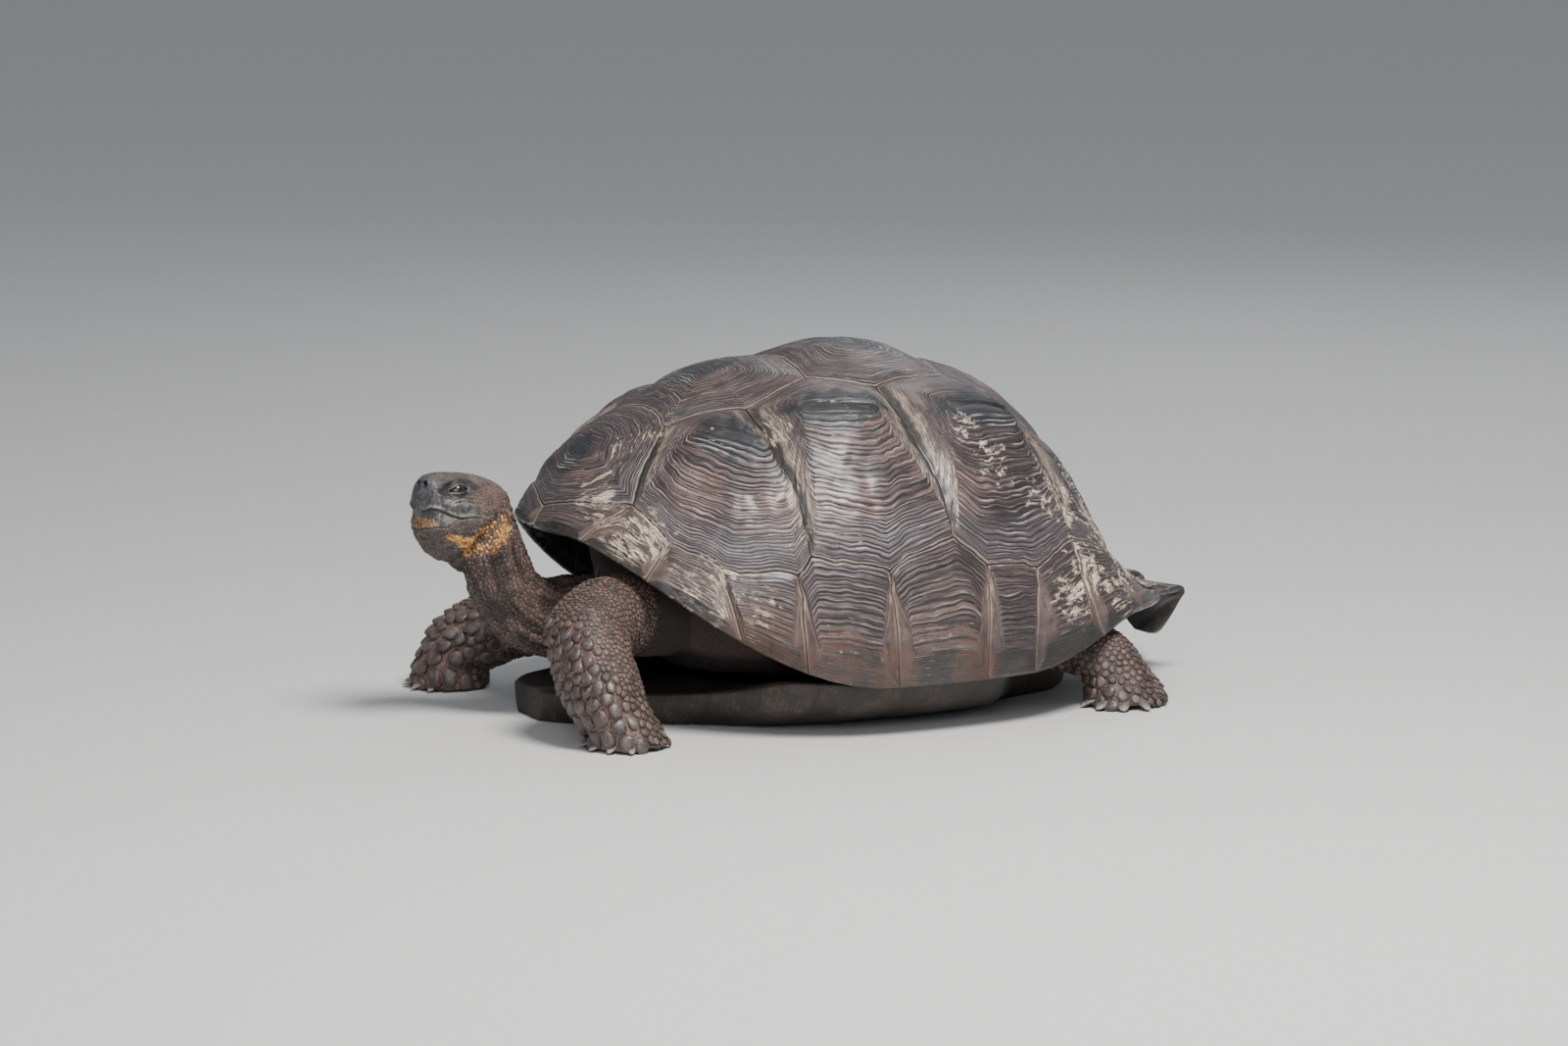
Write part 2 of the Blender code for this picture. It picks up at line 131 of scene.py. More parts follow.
class Finish:
    """A material as it is mixed: put() adds a node of any type and gives one of its outputs as a wire."""

    def __init__(self, name):
        self.material = bpy.data.materials.new(name)
        self.material.use_nodes = True
        self.tree = self.material.node_tree
        self.shader = self.tree.nodes["Principled BSDF"]

    def put(self, kind, settings=None, sockets=None, output=0):
        node = self.tree.nodes.new(kind)
        for setting, value in (settings or {}).items():
            if setting == "stops":
                ramp = node.color_ramp.elements
                while len(ramp) < len(value):
                    ramp.new(1.0)
                for stop, (position, colour) in zip(ramp, value):
                    stop.position = position
                    stop.color = (*colour, 1.0)
            else:
                setattr(node, setting, value)
        for socket, value in (sockets or {}).items():
            self.feed(node.inputs[socket], value)
        return Wire(self.tree, node.outputs[output])

    def feed(self, place, value):
        if isinstance(value, Wire):
            self.tree.links.new(value.socket, place)
        elif isinstance(value, tuple) and place.type == "RGBA":
            place.default_value = (*value, 1.0)
        else:
            place.default_value = value

    def finish(self, **sockets):
        """Sets or links the shader's own sockets, with _ for a space in a socket's name."""
        for socket, value in sockets.items():
            self.feed(self.shader.inputs[socket.replace("_", " ")], value)

    def mark(self, name):
        """A number kept on the piece's own points."""
        return self.put("ShaderNodeAttribute", {"attribute_name": name}, output=2)

    def place(self):
        return self.put("ShaderNodeTexCoord", output=3)

    def scaled(self, vector, scales):
        return self.put("ShaderNodeVectorMath", {"operation": "MULTIPLY"}, {0: vector, 1: scales})

    def cloud(self, vector, scale, detail=3.0, roughness=0.55):
        return self.put("ShaderNodeTexNoise", {"noise_dimensions": "3D"}, {
            "Vector": vector, "Scale": scale, "Detail": detail, "Roughness": roughness,
        })

    def between(self, value, low, high):
        """0 below low and 1 above high, smooth between."""
        return self.put("ShaderNodeMapRange", {"interpolation_type": "SMOOTHSTEP"}, {
            "Value": value, "From Min": low, "From Max": high,
        })

    def blend(self, share, first, second):
        return self.put("ShaderNodeMix", {"data_type": "RGBA"}, {0: share, 6: first, 7: second}, 2)

    def coats(self, tone, coats):
        """The tone under coats of (share, colour), each one laid over the last."""
        for share, colour in coats:
            tone = self.blend(share, tone, colour)
        return tone

    def ramp(self, value, stops):
        return self.put("ShaderNodeValToRGB", {"stops": stops}, {"Fac": value})

    def relief(self, height, depth, strength=1.0, under=None):
        sockets = {"Height": height, "Distance": depth, "Strength": strength}
        if under is not None:
            sockets["Normal"] = under
        return self.put("ShaderNodeBump", {}, sockets)


floor_mesh = bpy.data.meshes.new("floor")
floor_corners = [(-60, -60, 0), (60, -60, 0), (60, 60, 0), (-60, 60, 0)]
floor_mesh.from_pydata(floor_corners, [], [(0, 1, 2, 3)])
floor_mesh.transform(Matrix.Translation((0, 0, cad_low.z)))
floor = bpy.data.objects.new("floor", floor_mesh)
bpy.context.scene.collection.objects.link(floor)
floor_paint = Finish("floor paint")
grain = floor_paint.cloud(floor_paint.place(), 40.0)
floor_paint.finish(
    Base_Color=floor_paint.ramp(grain, [(0.3, (0.60, 0.60, 0.59)), (0.7, (0.63, 0.63, 0.62))]),
    Roughness=0.8,
)
floor.data.materials.append(floor_paint.material)

# The dome of the shell: bone under a sheet of horn, an arch from its top down to an oval rim that
# rises in front over the neck and flares behind into two corners beside the plate over the tail.
# A place on it is a point of a flat disc whose edge is the rim and whose -Y is the front.
rim_half_width, rim_front, rim_rear, rim_middle_y = 0.425, 0.480, 0.615, 0.022
dome_top = np.array((0.0, 0.062, 0.563))
rim_height, rim_front_rise, rim_rear_rise = 0.083, 0.225, 0.067
tail_corner_length, tail_plate_drop = 0.055, 0.085


def ease(share):
    share = np.clip(share, 0.0, 1.0)
    return share * share * (3 - 2 * share)


def dome(places):
    """The smooth dome over places of the disc."""
    share = np.hypot(places[..., 0], places[..., 1])
    turn = np.arctan2(places[..., 0], -places[..., 1])
    side = np.degrees(np.abs(turn))
    forward = np.cos(turn)
    rim = np.stack([
        rim_half_width * np.sin(turn),
        rim_middle_y - np.where(forward > 0, rim_front, rim_rear) * forward,
        rim_height + rim_front_rise * ease((85 - side) / 73) + rim_rear_rise * ease((side - 110) / 32),
    ], -1)

    def turned(front, flank, rear):
        return flank + (np.where(forward > 0, front, rear) - flank) * forward ** 2

    crown = turned(0.590, 0.583, 0.800)
    slope = turned(0.363, 0.619, -0.070)
    lean = turned(0.080, 0.030, 0.275)
    near_top = 3 * share * (1 - share) ** 2
    near_rim = 3 * share * share * (1 - share)
    outward = near_top * crown + near_rim * (1 - lean) + share ** 3
    downward = near_rim * (1 - slope) + share ** 3
    point = dome_top + (rim - dome_top) * np.stack([outward, outward, downward], -1)
    corner = ease((side - 162) / 9)
    over_tail = ease((side - 168) / 12)
    edge = ease((share - 0.72) / 0.28)
    point[..., 1] += edge * tail_corner_length * corner * (1 - 0.5 * over_tail)
    point[..., 2] -= edge * tail_plate_drop * over_tail
    return point


def dome_normals(places):
    step = 0.008
    share = np.hypot(places[..., 0], places[..., 1])[..., None]
    held = places * np.minimum(1.0, (1 - 2 * step) / np.maximum(share, 1e-9))
    x_step, y_step = np.array((step, 0.0)), np.array((0.0, step))
    across = dome(held + x_step) - dome(held - x_step)
    along = dome(held + y_step) - dome(held - y_step)
    normal = np.cross(across, along)
    return normal / np.linalg.norm(normal, axis=-1, keepdims=True)


def drift(points, size, seed):
    """Smooth unevenness from -1 to 1 that changes over about the given size."""
    scaled = points / size + 0.37 * seed
    cell = np.floor(scaled).astype(np.int64)
    share = scaled - cell
    share = share * share * (3 - 2 * share)
    total = np.zeros(points.shape[:-1])
    for corner in range(2 ** points.shape[-1]):
        bits = np.array([(corner >> axis) & 1 for axis in range(points.shape[-1])])
        keys = (cell + bits).astype(np.uint64)
        mixed = np.full(points.shape[:-1], 1013904223 + 7919 * seed, np.uint64)
        for axis in range(points.shape[-1]):
            mixed = (mixed ^ (keys[..., axis] * np.uint64(2654435761))) * np.uint64(2246822519)
            mixed ^= mixed >> np.uint64(15)
        value = (mixed & np.uint64(0xFFFFF)).astype(float) / 0xFFFFF
        total += value * np.prod(np.where(bits == 1, share, 1 - share), axis=-1)
    return 2 * total - 1


# Where the seams of the horn meet on the left side: degrees round from the front, and the share of
# the way from the top down to the rim. Each plate is a polygon of these, and the right side mirrors.
junctions = {
    "front": (0.0, 0.885), "front_side": (19.0, 0.833), "v1_c1_m": (28.2, 0.772),
    "v1_v2": (0.0, 0.425), "v1_v2_c1": (21.5, 0.490), "v2_c1_bow": (31.0, 0.400),
    "v2_c1_c2": (44.0, 0.362), "v2_v3": (0.0, 0.100), "v2_v3_c2": (60.0, 0.205),
    "v3_c2_c3": (96.0, 0.258), "v3_v4": (180.0, 0.130), "v3_v4_c3": (140.5, 0.203),
    "v4_c3_c4": (140.0, 0.305), "v4_v5": (180.0, 0.400), "v4_v5_c4": (162.0, 0.430),
    "c1_c2_m": (69.8, 0.750), "c2_c3_m": (99.5, 0.705), "c3_c4_bow": (137.0, 0.480),
    "c3_c4_m": (129.2, 0.718), "v5_c4_m": (154.8, 0.740), "m2_m3": (40.0, 0.830),
    "m3_m4": (51.5, 0.845), "m4_m5": (67.2, 0.797), "m5_m6": (86.2, 0.780),
    "m6_m7": (105.2, 0.770), "m7_m8": (116.2, 0.763), "m9_m10": (142.0, 0.745),
    "m11_sc": (168.0, 0.745), "rear": (180.0, 0.755),
}
rim_seams = (0.0, 19.0, 36.0, 56.5, 69.0, 87.0, 102.5, 111.5, 128.0, 143.0, 165.5, 170.0)
upper_edge = (
    "front", "front_side", "v1_c1_m", "m2_m3", "m3_m4", "m4_m5", "c1_c2_m", "m5_m6", "c2_c3_m",
    "m6_m7", "m7_m8", "c3_c4_m", "m9_m10", "v5_c4_m", "m11_sc", "rear",
)
seam_tops = (
    "front", "v1_c1_m", "m2_m3", "m3_m4", "m4_m5", "m5_m6", "m6_m7", "m7_m8", "c3_c4_m", "m9_m10",
    "v5_c4_m", "m11_sc",
)


def disc(degrees, share):
    return np.array((math.sin(math.radians(degrees)), -math.cos(math.radians(degrees)))) * share


# The lichen and the dried soil on the shell. A spot is (degrees round from the front, share of the way
# down to the rim, radius, strength), and negative degrees are on the right side. Cream crusts grow over
# the forelegs and on the rear flanks, and reddish soil clings along the rim.
lichen_spots = (
    (34, 0.86, 0.040, 0.85), (30, 0.90, 0.036, 0.75), (17, 0.79, 0.034, 0.85), (23, 0.85, 0.026, 0.6),
    (16, 0.60, 0.030, 0.35), (48, 0.90, 0.045, 0.55), (57, 0.92, 0.045, 0.45), (20, 0.50, 0.030, 0.45),
    (56, 0.45, 0.030, 0.55), (62, 0.60, 0.022, 0.55), (66, 0.70, 0.022, 0.5), (112, 0.42, 0.030, 0.55),
    (116, 0.52, 0.035, 0.6), (124, 0.60, 0.030, 0.55), (132, 0.62, 0.045, 0.75), (146, 0.66, 0.050, 0.75),
    (150, 0.74, 0.040, 0.8), (154, 0.80, 0.035, 0.9), (150, 0.52, 0.040, 0.6), (143, 0.86, 0.030, 0.6),
    (163, 0.84, 0.040, 0.8), (122, 0.86, 0.040, 0.7), (130, 0.80, 0.045, 0.75), (136, 0.90, 0.035, 0.7),
    (-40, 0.80, 0.060, 0.8), (-100, 0.55, 0.060, 0.5), (-140, 0.70, 0.060, 0.7), (175, 0.50, 0.050, 0.4),
)
soil_spots = (
    (60, 0.97, 0.07, 1.0), (74, 0.96, 0.06, 1.0), (86, 0.97, 0.05, 1.0), (100, 0.97, 0.05, 1.0),
    (-75, 0.97, 0.10, 1.0),
)


def spots_over(places, spots):
    """How far each place lies within a set of spots."""
    here = dome(places)
    most = np.zeros(places.shape[:-1])
    for degrees, share, radius, strength in spots:
        away = np.linalg.norm(here - dome(disc(degrees, share)), axis=-1)
        most = np.maximum(most, strength * ease(1.6 - away / radius))
    return most


# One horn plate: rings of growth, each a larger copy of the last around the smooth first plate, the
# areola. Grooves part the rings, the outer ones finer. The rounded edge turns down into the seam.
outline_step, wobble_length, root_depth = 0.0042, 0.022, 0.014
seam_sway, fine_sway = 0.0085, 0.0030


def swayed(places):
    """Seams that run a little unevenly, alike for the plates on both sides, and true at the rim."""
    share = np.hypot(places[..., 0], places[..., 1])[..., None]
    sway = np.stack([drift(places, 0.09, 3), drift(places, 0.09, 11)], -1) * seam_sway
    sway = sway + np.stack([drift(places, 0.024, 5), drift(places, 0.024, 7)], -1) * fine_sway
    return places + sway * ease((0.97 - share) / 0.15) * ease(share / 0.15)


def raised(places, height):
    """Points at a height over the dome, or under it where the height is negative."""
    return dome(swayed(places)) + dome_normals(swayed(places)) * np.asarray(height)[..., None]


def softened(values, times):
    """Each value of a closed ring drawn towards its two neighbours."""
    for _ in range(times):
        values = (np.roll(values, 1, 0) + 2 * values + np.roll(values, -1, 0)) / 4
    return values


def ring_faces(rings, count, looped=False):
    """Faces between closed rings of count points each, and from the last to the first if looped."""
    here = np.arange(count)
    following = (here + 1) % count
    faces = []
    for ring in range(rings if looped else rings - 1):
        one, two = ring * count, (ring + 1) % rings * count
        faces += np.stack([one + here, one + following, two + following, two + here], -1).tolist()
    return faces


def fan_faces(tip, start, count, flipped=False):
    """Faces from one point to the ring of count points that begins at start."""
    here = start + np.arange(count)
    following = start + (np.arange(count) + 1) % count
    sides = (following, here) if flipped else (here, following)
    return np.stack([tip + 0 * here, *sides], -1).tolist()


def capped_faces(rings, count):
    """Ring faces, closed at both ends by two points that come after the rings."""
    end = rings * count
    return ring_faces(rings, count) + fan_faces(end, 0, count, True) + fan_faces(end + 1, end - count, count)


def shifted(faces, base):
    return [[base + corner for corner in face] for face in faces]


def keep_marks(mesh, marks):
    """Named numbers kept on a mesh's points, for its material."""
    for mark, values in marks.items():
        kept = mesh.attributes.new(mark, "FLOAT", "POINT")
        kept.data.foreach_set("value", np.asarray(values, np.float32))


def mesh_of(name, points, faces, marks):
    mesh = bpy.data.meshes.new(name)
    mesh.from_pydata(points.tolist(), [], faces)
    keep_marks(mesh, marks)
    mesh.update()
    mesh.shade_smooth()
    return mesh


def turn_outwards(mesh):
    shaped = bmesh.new()
    shaped.from_mesh(mesh)
    bmesh.ops.recalc_face_normals(shaped, faces=shaped.faces)
    shaped.to_mesh(mesh)
    shaped.free()


def piece_of(name, mesh, material):
    """The mesh as a piece of the model, in one material."""
    piece = bpy.data.objects.new(name, mesh)
    bpy.context.scene.collection.objects.link(piece)
    mesh.materials.clear()
    mesh.materials.append(material)
    return piece


def plate_outline(corners, sides):
    """Even steps along the sides of a plate, and which kind of side each step is on."""
    outline, kinds = [], []
    for index, (start, side) in enumerate(zip(corners, sides)):
        end = corners[(index + 1) % len(corners)]
        steps = max(1, round(np.linalg.norm(dome(end) - dome(start)) / outline_step))
        outline += [start + (end - start) * step / steps for step in range(steps)]
        kinds += [side] * steps
    return np.array(outline), np.array(kinds)


def growth_rows(rings, on_margin, random):
    """Rows of points from the areola out, three to a ring: share of the way, height and ring number."""
    widths = (1.35 - 0.6 * np.arange(rings) / rings) * random.uniform(0.5, 1.5, rings)
    first = 0.10
    grooves = first + (1 - first) * np.concatenate([[0], np.cumsum(widths)]) / widths.sum()
    depths = random.uniform(0.3, 1.2, rings + 1)
    depths[random.random(rings + 1) < 0.16] *= 1.9
    if on_margin:
        depths[int(rings * 0.30)] = 2.8
    rows = [(0.045, 0.0, -0.6), (0.075, 0.0, -0.3)]
    for ring in range(rings):
        for part, height in ((0.0, -1.0), (0.30, 0.50), (0.70, 0.55)):
            share = grooves[ring] + (grooves[ring + 1] - grooves[ring]) * part
            rows.append((share, height * depths[ring], ring + part))
    return np.array(rows).T[..., None]


def plate_edge(origin, outline, reach, rounding, on_rim, last_relief):
    """Rows of points from a plate's last ring round its edge, down into the seam and back below."""
    spokes = outline - origin
    share = np.hypot(outline[:, 0], outline[:, 1])
    thickness = (0.012 + 0.003 * ease((share - 0.75) / 0.2)) * (1 - 0.45 * ease((share - 0.94) / 0.06))
    rows = []
    for part, down in ((0.55, 0.16), (0.2, 0.45), (0.0, 1.0)):
        row = 1 - rounding * part / reach
        sunk = last_relief * (1 - on_rim) - rounding * down
        rows.append(raised(origin + spokes * row[:, None], sunk))
    for row, down in ((1 - 0.0002 / reach, 0.65), (1 - 0.0020 / reach, 1.0), (0.62 + 0 * reach, 1.0)):
        rows.append(raised(origin + spokes * row[:, None], -thickness * down - 0.002))
    return np.stack(rows)


def plate(areola, corners, sides, hump, rings, level, seed):
    """Points, faces and marks of a horn plate.

    sides says how each side ends: top, side, fan or rim. level is how much of the plate's width the
    innermost ring takes up, as a level line. The plate rises by hump in its middle.
    """
    random = np.random.default_rng(seed)
    outline, kinds = plate_outline(corners, sides)
    count = len(outline)
    on_margin = "rim" in sides
    along = np.array((-areola[1], areola[0])) / np.linalg.norm(areola)
    across = (outline - areola) @ along
    middle_span = level * 0.5 * (across.max() - across.min())
    origin = areola + along * np.clip(across, -middle_span, middle_span)[:, None]
    origin = softened(origin, int(count * (0.02 if on_margin else 0.35)))
    edge = dome(swayed(outline))
    run = np.roll(edge, -1, 0) - edge
    run /= np.linalg.norm(run, axis=-1, keepdims=True)
    reach = edge - dome(swayed(origin))
    reach = np.linalg.norm(reach - (reach * run).sum(-1, keepdims=True) * run, axis=-1)
    reach = np.maximum(reach, 0.012)

    on_rim, fan = (kinds == "rim") * 1.0, softened((kinds == "fan") * 1.0, 2)
    upright = softened((kinds == "side") * 1.0, 14)
    rounding = np.where(kinds == "rim", 0.0045, 0.0013)
    rows, levels, phases = growth_rows(rings, on_margin, random)
    rows = rows * (1 - rounding / reach)[None, :]
    phases = phases + np.zeros(count)

    around = np.linspace(0, 2 * math.pi, count, endpoint=False)
    turns = count * outline_step / (2 * math.pi * wobble_length)
    circle = np.stack([turns * np.cos(around), turns * np.sin(around)], -1) + 0 * phases[..., None]
    wobble = drift(np.concatenate([circle, 0.75 * phases[..., None]], -1), 1.0, seed + 31)
    waver = sum(
        random.uniform(-1, 1) * np.sin(around * wave + 9 * random.random() + 7 * rows)
        for wave in (3, 5, 8, 13, 21)
    )
    held = np.sin(np.pi * np.clip(rows, 0, 1))
    rows = rows + waver * 0.0028 * held + wobble * 0.13 / rings * np.sqrt(held)
    spokes = outline - origin
    round_spokes = softened(spokes, int(count * (0.05 if on_margin else 0.40)))
    share = np.clip(rows, 0, 1)[..., None] ** (3.0 if on_margin else 1.7)
    places = origin + (round_spokes + (spokes - round_spokes) * share) * rows[..., None]
    inset = (1 - rows) * reach

    wear = ease(0.5 + 0.9 * drift(places, 0.11, seed) + 0.5 * drift(places, 0.04, seed + 5))
    pitch = np.gradient(rows, axis=0) * 3 * reach
    strength = 1 - 0.65 * on_rim - 0.93 * fan - 0.30 * upright
    relief = levels * np.clip(pitch, 0.002, 0.009) * (0.13 if on_margin else 0.085) * strength
    patchy = (0.25 + 0.75 * wear) * (0.75 + 0.5 * drift(places, 0.02, seed + 3))
    relief *= patchy * ease((rows - 0.04) / 0.10)
    relief *= ease((inset - 0.001) / 0.008)
    relief -= 0.0052 * upright * np.exp(-(inset / 0.018) ** 2)
    relief += 0.0022 * upright * np.exp(-((inset - 0.036) / 0.012) ** 2)
    relief -= 0.0026 * (1 - upright) * (1 - on_rim) * np.exp(-(inset / 0.012) ** 2)
    relief -= 0.0016 * fan * ease((rows - 0.3) / 0.3)
    uneven = 0.0024 * drift(places, 0.09, seed + 9) + 0.0008 * drift(places, 0.025, seed + 13)
    relief += uneven * ease(inset / 0.015)
    bulge = 1 - (np.linalg.norm(dome(swayed(places)) - dome(swayed(areola)), axis=-1) / reach.mean()) ** 2
    crown = hump * (0.6 * (1 - np.clip(rows, 0, 1) ** 2) + 0.4 * ease(bulge) * ease(inset / 0.03))

    edge_rows = plate_edge(origin, outline, reach, rounding, on_rim, relief[-1])
    grid = np.concatenate([raised(places, crown + relief), edge_rows])
    height, below = len(grid), len(edge_rows)
    points = np.concatenate([grid.reshape(-1, 3), [raised(areola, hump), raised(areola, -root_depth)]])

    def whole(values, top, bottom):
        return np.concatenate([values.ravel(), [top, bottom]])

    all_rows, edge_zero = np.ones((height, 1)), np.zeros((below, count))
    shares = np.concatenate([rows, edge_zero + 1])
    all_places = np.concatenate([places, outline + edge_zero[..., None]])
    under = np.zeros((height, count))
    under[len(rows) + 3:] = 1
    off = all_places - areola
    sideways, outwards = off @ along, off @ (areola / np.linalg.norm(areola)) - 0.022
    round_share = np.hypot(sideways / (0.100 if hump > 0.015 else 0.070), outwards / 0.072)
    round_share += 0.30 * drift(all_places, 0.030, seed + 17)
    marks = {
        "ring": whole(np.concatenate([phases, edge_zero + rings]), -1.0, float(rings)),
        "seam": whole(np.concatenate([inset, edge_zero]), 0.1, 0.0),
        "areola": whole(ease((1.25 - round_share) / 0.6) * (1 - on_margin), 1.0 - on_margin, 0.0),
        "fan": whole(fan * all_rows, 0.0, 0.0),
        "upright": whole(upright * ease((shares - 0.35) / 0.3), 0.0, 0.0),
        "low": whole(ease(outwards / 0.05 + 0.2), 0.5, 0.5),
        "out": whole(np.clip(shares, 0, 1), 0.0, 1.0),
        "margin": whole(shares * 0 + on_margin, on_margin, on_margin),
        "rim": whole(on_rim * all_rows, 1.0 * on_margin, 1.0 * on_margin),
        "under": whole(under, 0.0, 1.0),
        "lichen": whole(spots_over(all_places, lichen_spots), 0.0, 0.0),
        "soil": whole(spots_over(all_places, soil_spots), 0.0, 0.0),
    }
    return points, capped_faces(height, count), marks


def mirrored(corners, sides):
    """The same outline on the right side, still running the same way round."""
    flipped = [corner * (-1, 1) for corner in reversed(corners)]
    return flipped, [sides[(len(sides) - 2 - index) % len(sides)] for index in range(len(sides))]


def horn_piece(name, plates, nodes, finish):
    """Several plates as one piece that stands for their nodes."""
    points, faces, marks, base = [], [], {}, 0
    for plate_points, plate_faces, plate_marks in plates:
        points.append(plate_points)
        faces += shifted(plate_faces, base)
        for mark, values in plate_marks.items():
            marks.setdefault(mark, []).append(values)
        base += len(plate_points)
    marks = {mark: np.concatenate(values) for mark, values in marks.items()}
    mesh = mesh_of(name, np.concatenate(points), faces, marks)
    turn_outwards(mesh)
    piece = piece_of(name, mesh, finish)
    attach(piece, "root")
    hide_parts(*nodes)


# The horn itself: keratin, dark grey-brown with pinkish bands of growth, polished on the flanks, near
# black on the smooth areolas, dull brown in the fans by the side seams, with lichen and dried soil.
# Painted into the colour: highlights on the worn ring crests, a bluish sky sheen low on the costals, and
# shade in the grooves and in the valleys beside the upright seams.
horn = Finish("shell horn")
spot = horn.place()
ring = horn.mark("ring")


def by_ring(pull, scale):
    """Coordinates stretched along the rings: pull is how fast they change from one ring to the next."""
    return horn.put("ShaderNodeVectorMath", {"operation": "MULTIPLY_ADD"}, {
        0: horn.put("ShaderNodeCombineXYZ", {}, {"X": ring, "Y": ring, "Z": ring}),
        1: (pull, 0.7 * pull, 0.85 * pull),
        2: horn.scaled(spot, (scale, scale, scale)),
    })


band = horn.cloud(by_ring(0.55, 9.0), 1.0, 3.0, 0.6)
streak = horn.cloud(by_ring(3.1, 26.0), 1.0, 4.0, 0.65)
hair = horn.cloud(by_ring(9.5, 60.0), 1.0, 3.0, 0.6)
broad = horn.cloud(spot, 5.5, 3.0)
grain = horn.cloud(spot, 420.0, 3.0, 0.7)
blotch = horn.cloud(spot, 60.0, 4.0, 0.65)
cracks = horn.cloud(horn.scaled(spot, (150, 150, 22)), 1.0, 3.0)
within = ring - horn.put("ShaderNodeMath", {"operation": "FLOOR"}, {0: ring})
to_groove = horn.put("ShaderNodeMath", {"operation": "MINIMUM"}, {0: within, 1: 1 - within})
fan, rim, margin, out = horn.mark("fan"), horn.mark("rim"), horn.mark("margin"), horn.mark("out")
upright, seam, areola, low = horn.mark("upright"), horn.mark("seam"), horn.mark("areola"), horn.mark("low")
lined = 1 - fan * 0.95
worn = horn.cloud(by_ring(0.9, 14.0), 1.0, 3.0, 0.6)
groove = (1 - horn.between(to_groove, 0.06, 0.24)) * horn.between(streak * 0.6 + worn * 0.4, 0.40, 0.56)
groove = groove * lined
# The pale crests of the rings: worn edges, with a painted highlight where the ridges would catch the light.
crest_wear_and_highlight = horn.between(within, 0.14, 0.28) * (1 - horn.between(within, 0.36, 0.62))
crest_wear_and_highlight = crest_wear_and_highlight * horn.between(streak, 0.44, 0.58) * lined
thread = horn.between(hair, 0.50, 0.62) * lined
tone = horn.ramp(band * 0.34 + streak * 0.34 + broad * 0.20 + hair * 0.12, [
    (0.43, (0.018, 0.012, 0.013)), (0.49, (0.054, 0.036, 0.037)),
    (0.55, (0.116, 0.081, 0.084)), (0.64, (0.305, 0.228, 0.234)),
])
inner = 1 - horn.between(out, 0.55, 0.9) * 0.6
warm = horn.between(broad, 0.44, 0.60) * horn.between(band, 0.40, 0.56) * inner
# Bluish grey low on the costals: grey horn with a painted bluish sky sheen.
slate_and_sheen = horn.between(out, 0.66, 0.86) * low * (1 - upright) * (1 - margin)
level = horn.put("ShaderNodeSeparateXYZ", {}, {"Vector": spot}, 2)
fan_share = horn.between(hair * 0.5 + blotch * 0.5, 0.36, 0.62)
fan_tone = horn.blend(fan_share, (0.062, 0.042, 0.038), (0.150, 0.098, 0.084))
arc = horn.between(within, 0.05, 0.20) * (1 - horn.between(within, 0.40, 0.60))
arc = arc * horn.between(streak, 0.46, 0.56) * low * horn.between(out, 0.08, 0.13)
areola_tone = horn.blend(arc, (0.016, 0.017, 0.021), (0.330, 0.320, 0.320))
flaky = horn.between(horn.cloud(by_ring(1.3, 30.0), 2.2, 5.0, 0.75), 0.50, 0.58)
seam_line = horn.between(seam, 0.0004, 0.0014) * (1 - horn.between(seam, 0.0022, 0.0048))
chips = horn.between(horn.cloud(by_ring(2.2, 55.0), 1.0, 7.0, 0.74), 0.515, 0.550)
shoulder = horn.between(seam, 0.009, 0.016) * (1 - horn.between(seam, 0.020, 0.034)) * upright
# The valley beside each upright seam, painted darker: partly dark horn, partly shade.
channel = upright * (1 - horn.between(seam + (blotch - 0.5) * 0.006, 0.009, 0.017))
# Darker towards the bottom of the marginals.
lower_margin_darkening = (1 - horn.between(level + (blotch - 0.5) * 0.05, 0.105, 0.190)) * margin
lichen = horn.mark("lichen")
flakes = horn.cloud(by_ring(0.30, 34.0), 1.0, 8.0, 0.80)
crusted = horn.between(flakes + lichen * 0.125, 0.600, 0.622) * horn.between(lichen, 0.02, 0.20)
few = horn.between(horn.cloud(by_ring(1.2, 52.0), 1.0, 6.0, 0.72), 0.640, 0.665)
few = few * horn.between(broad, 0.40, 0.55)
crusted = horn.put("ShaderNodeMath", {"operation": "MAXIMUM"}, {0: crusted, 1: few})
pale_share = horn.between(grain * 0.4 + hair * 0.6, 0.38, 0.60)
cream = horn.blend(pale_share, (0.420, 0.310, 0.215), (0.820, 0.720, 0.580))
soil = horn.mark("soil")
under = horn.mark("under")
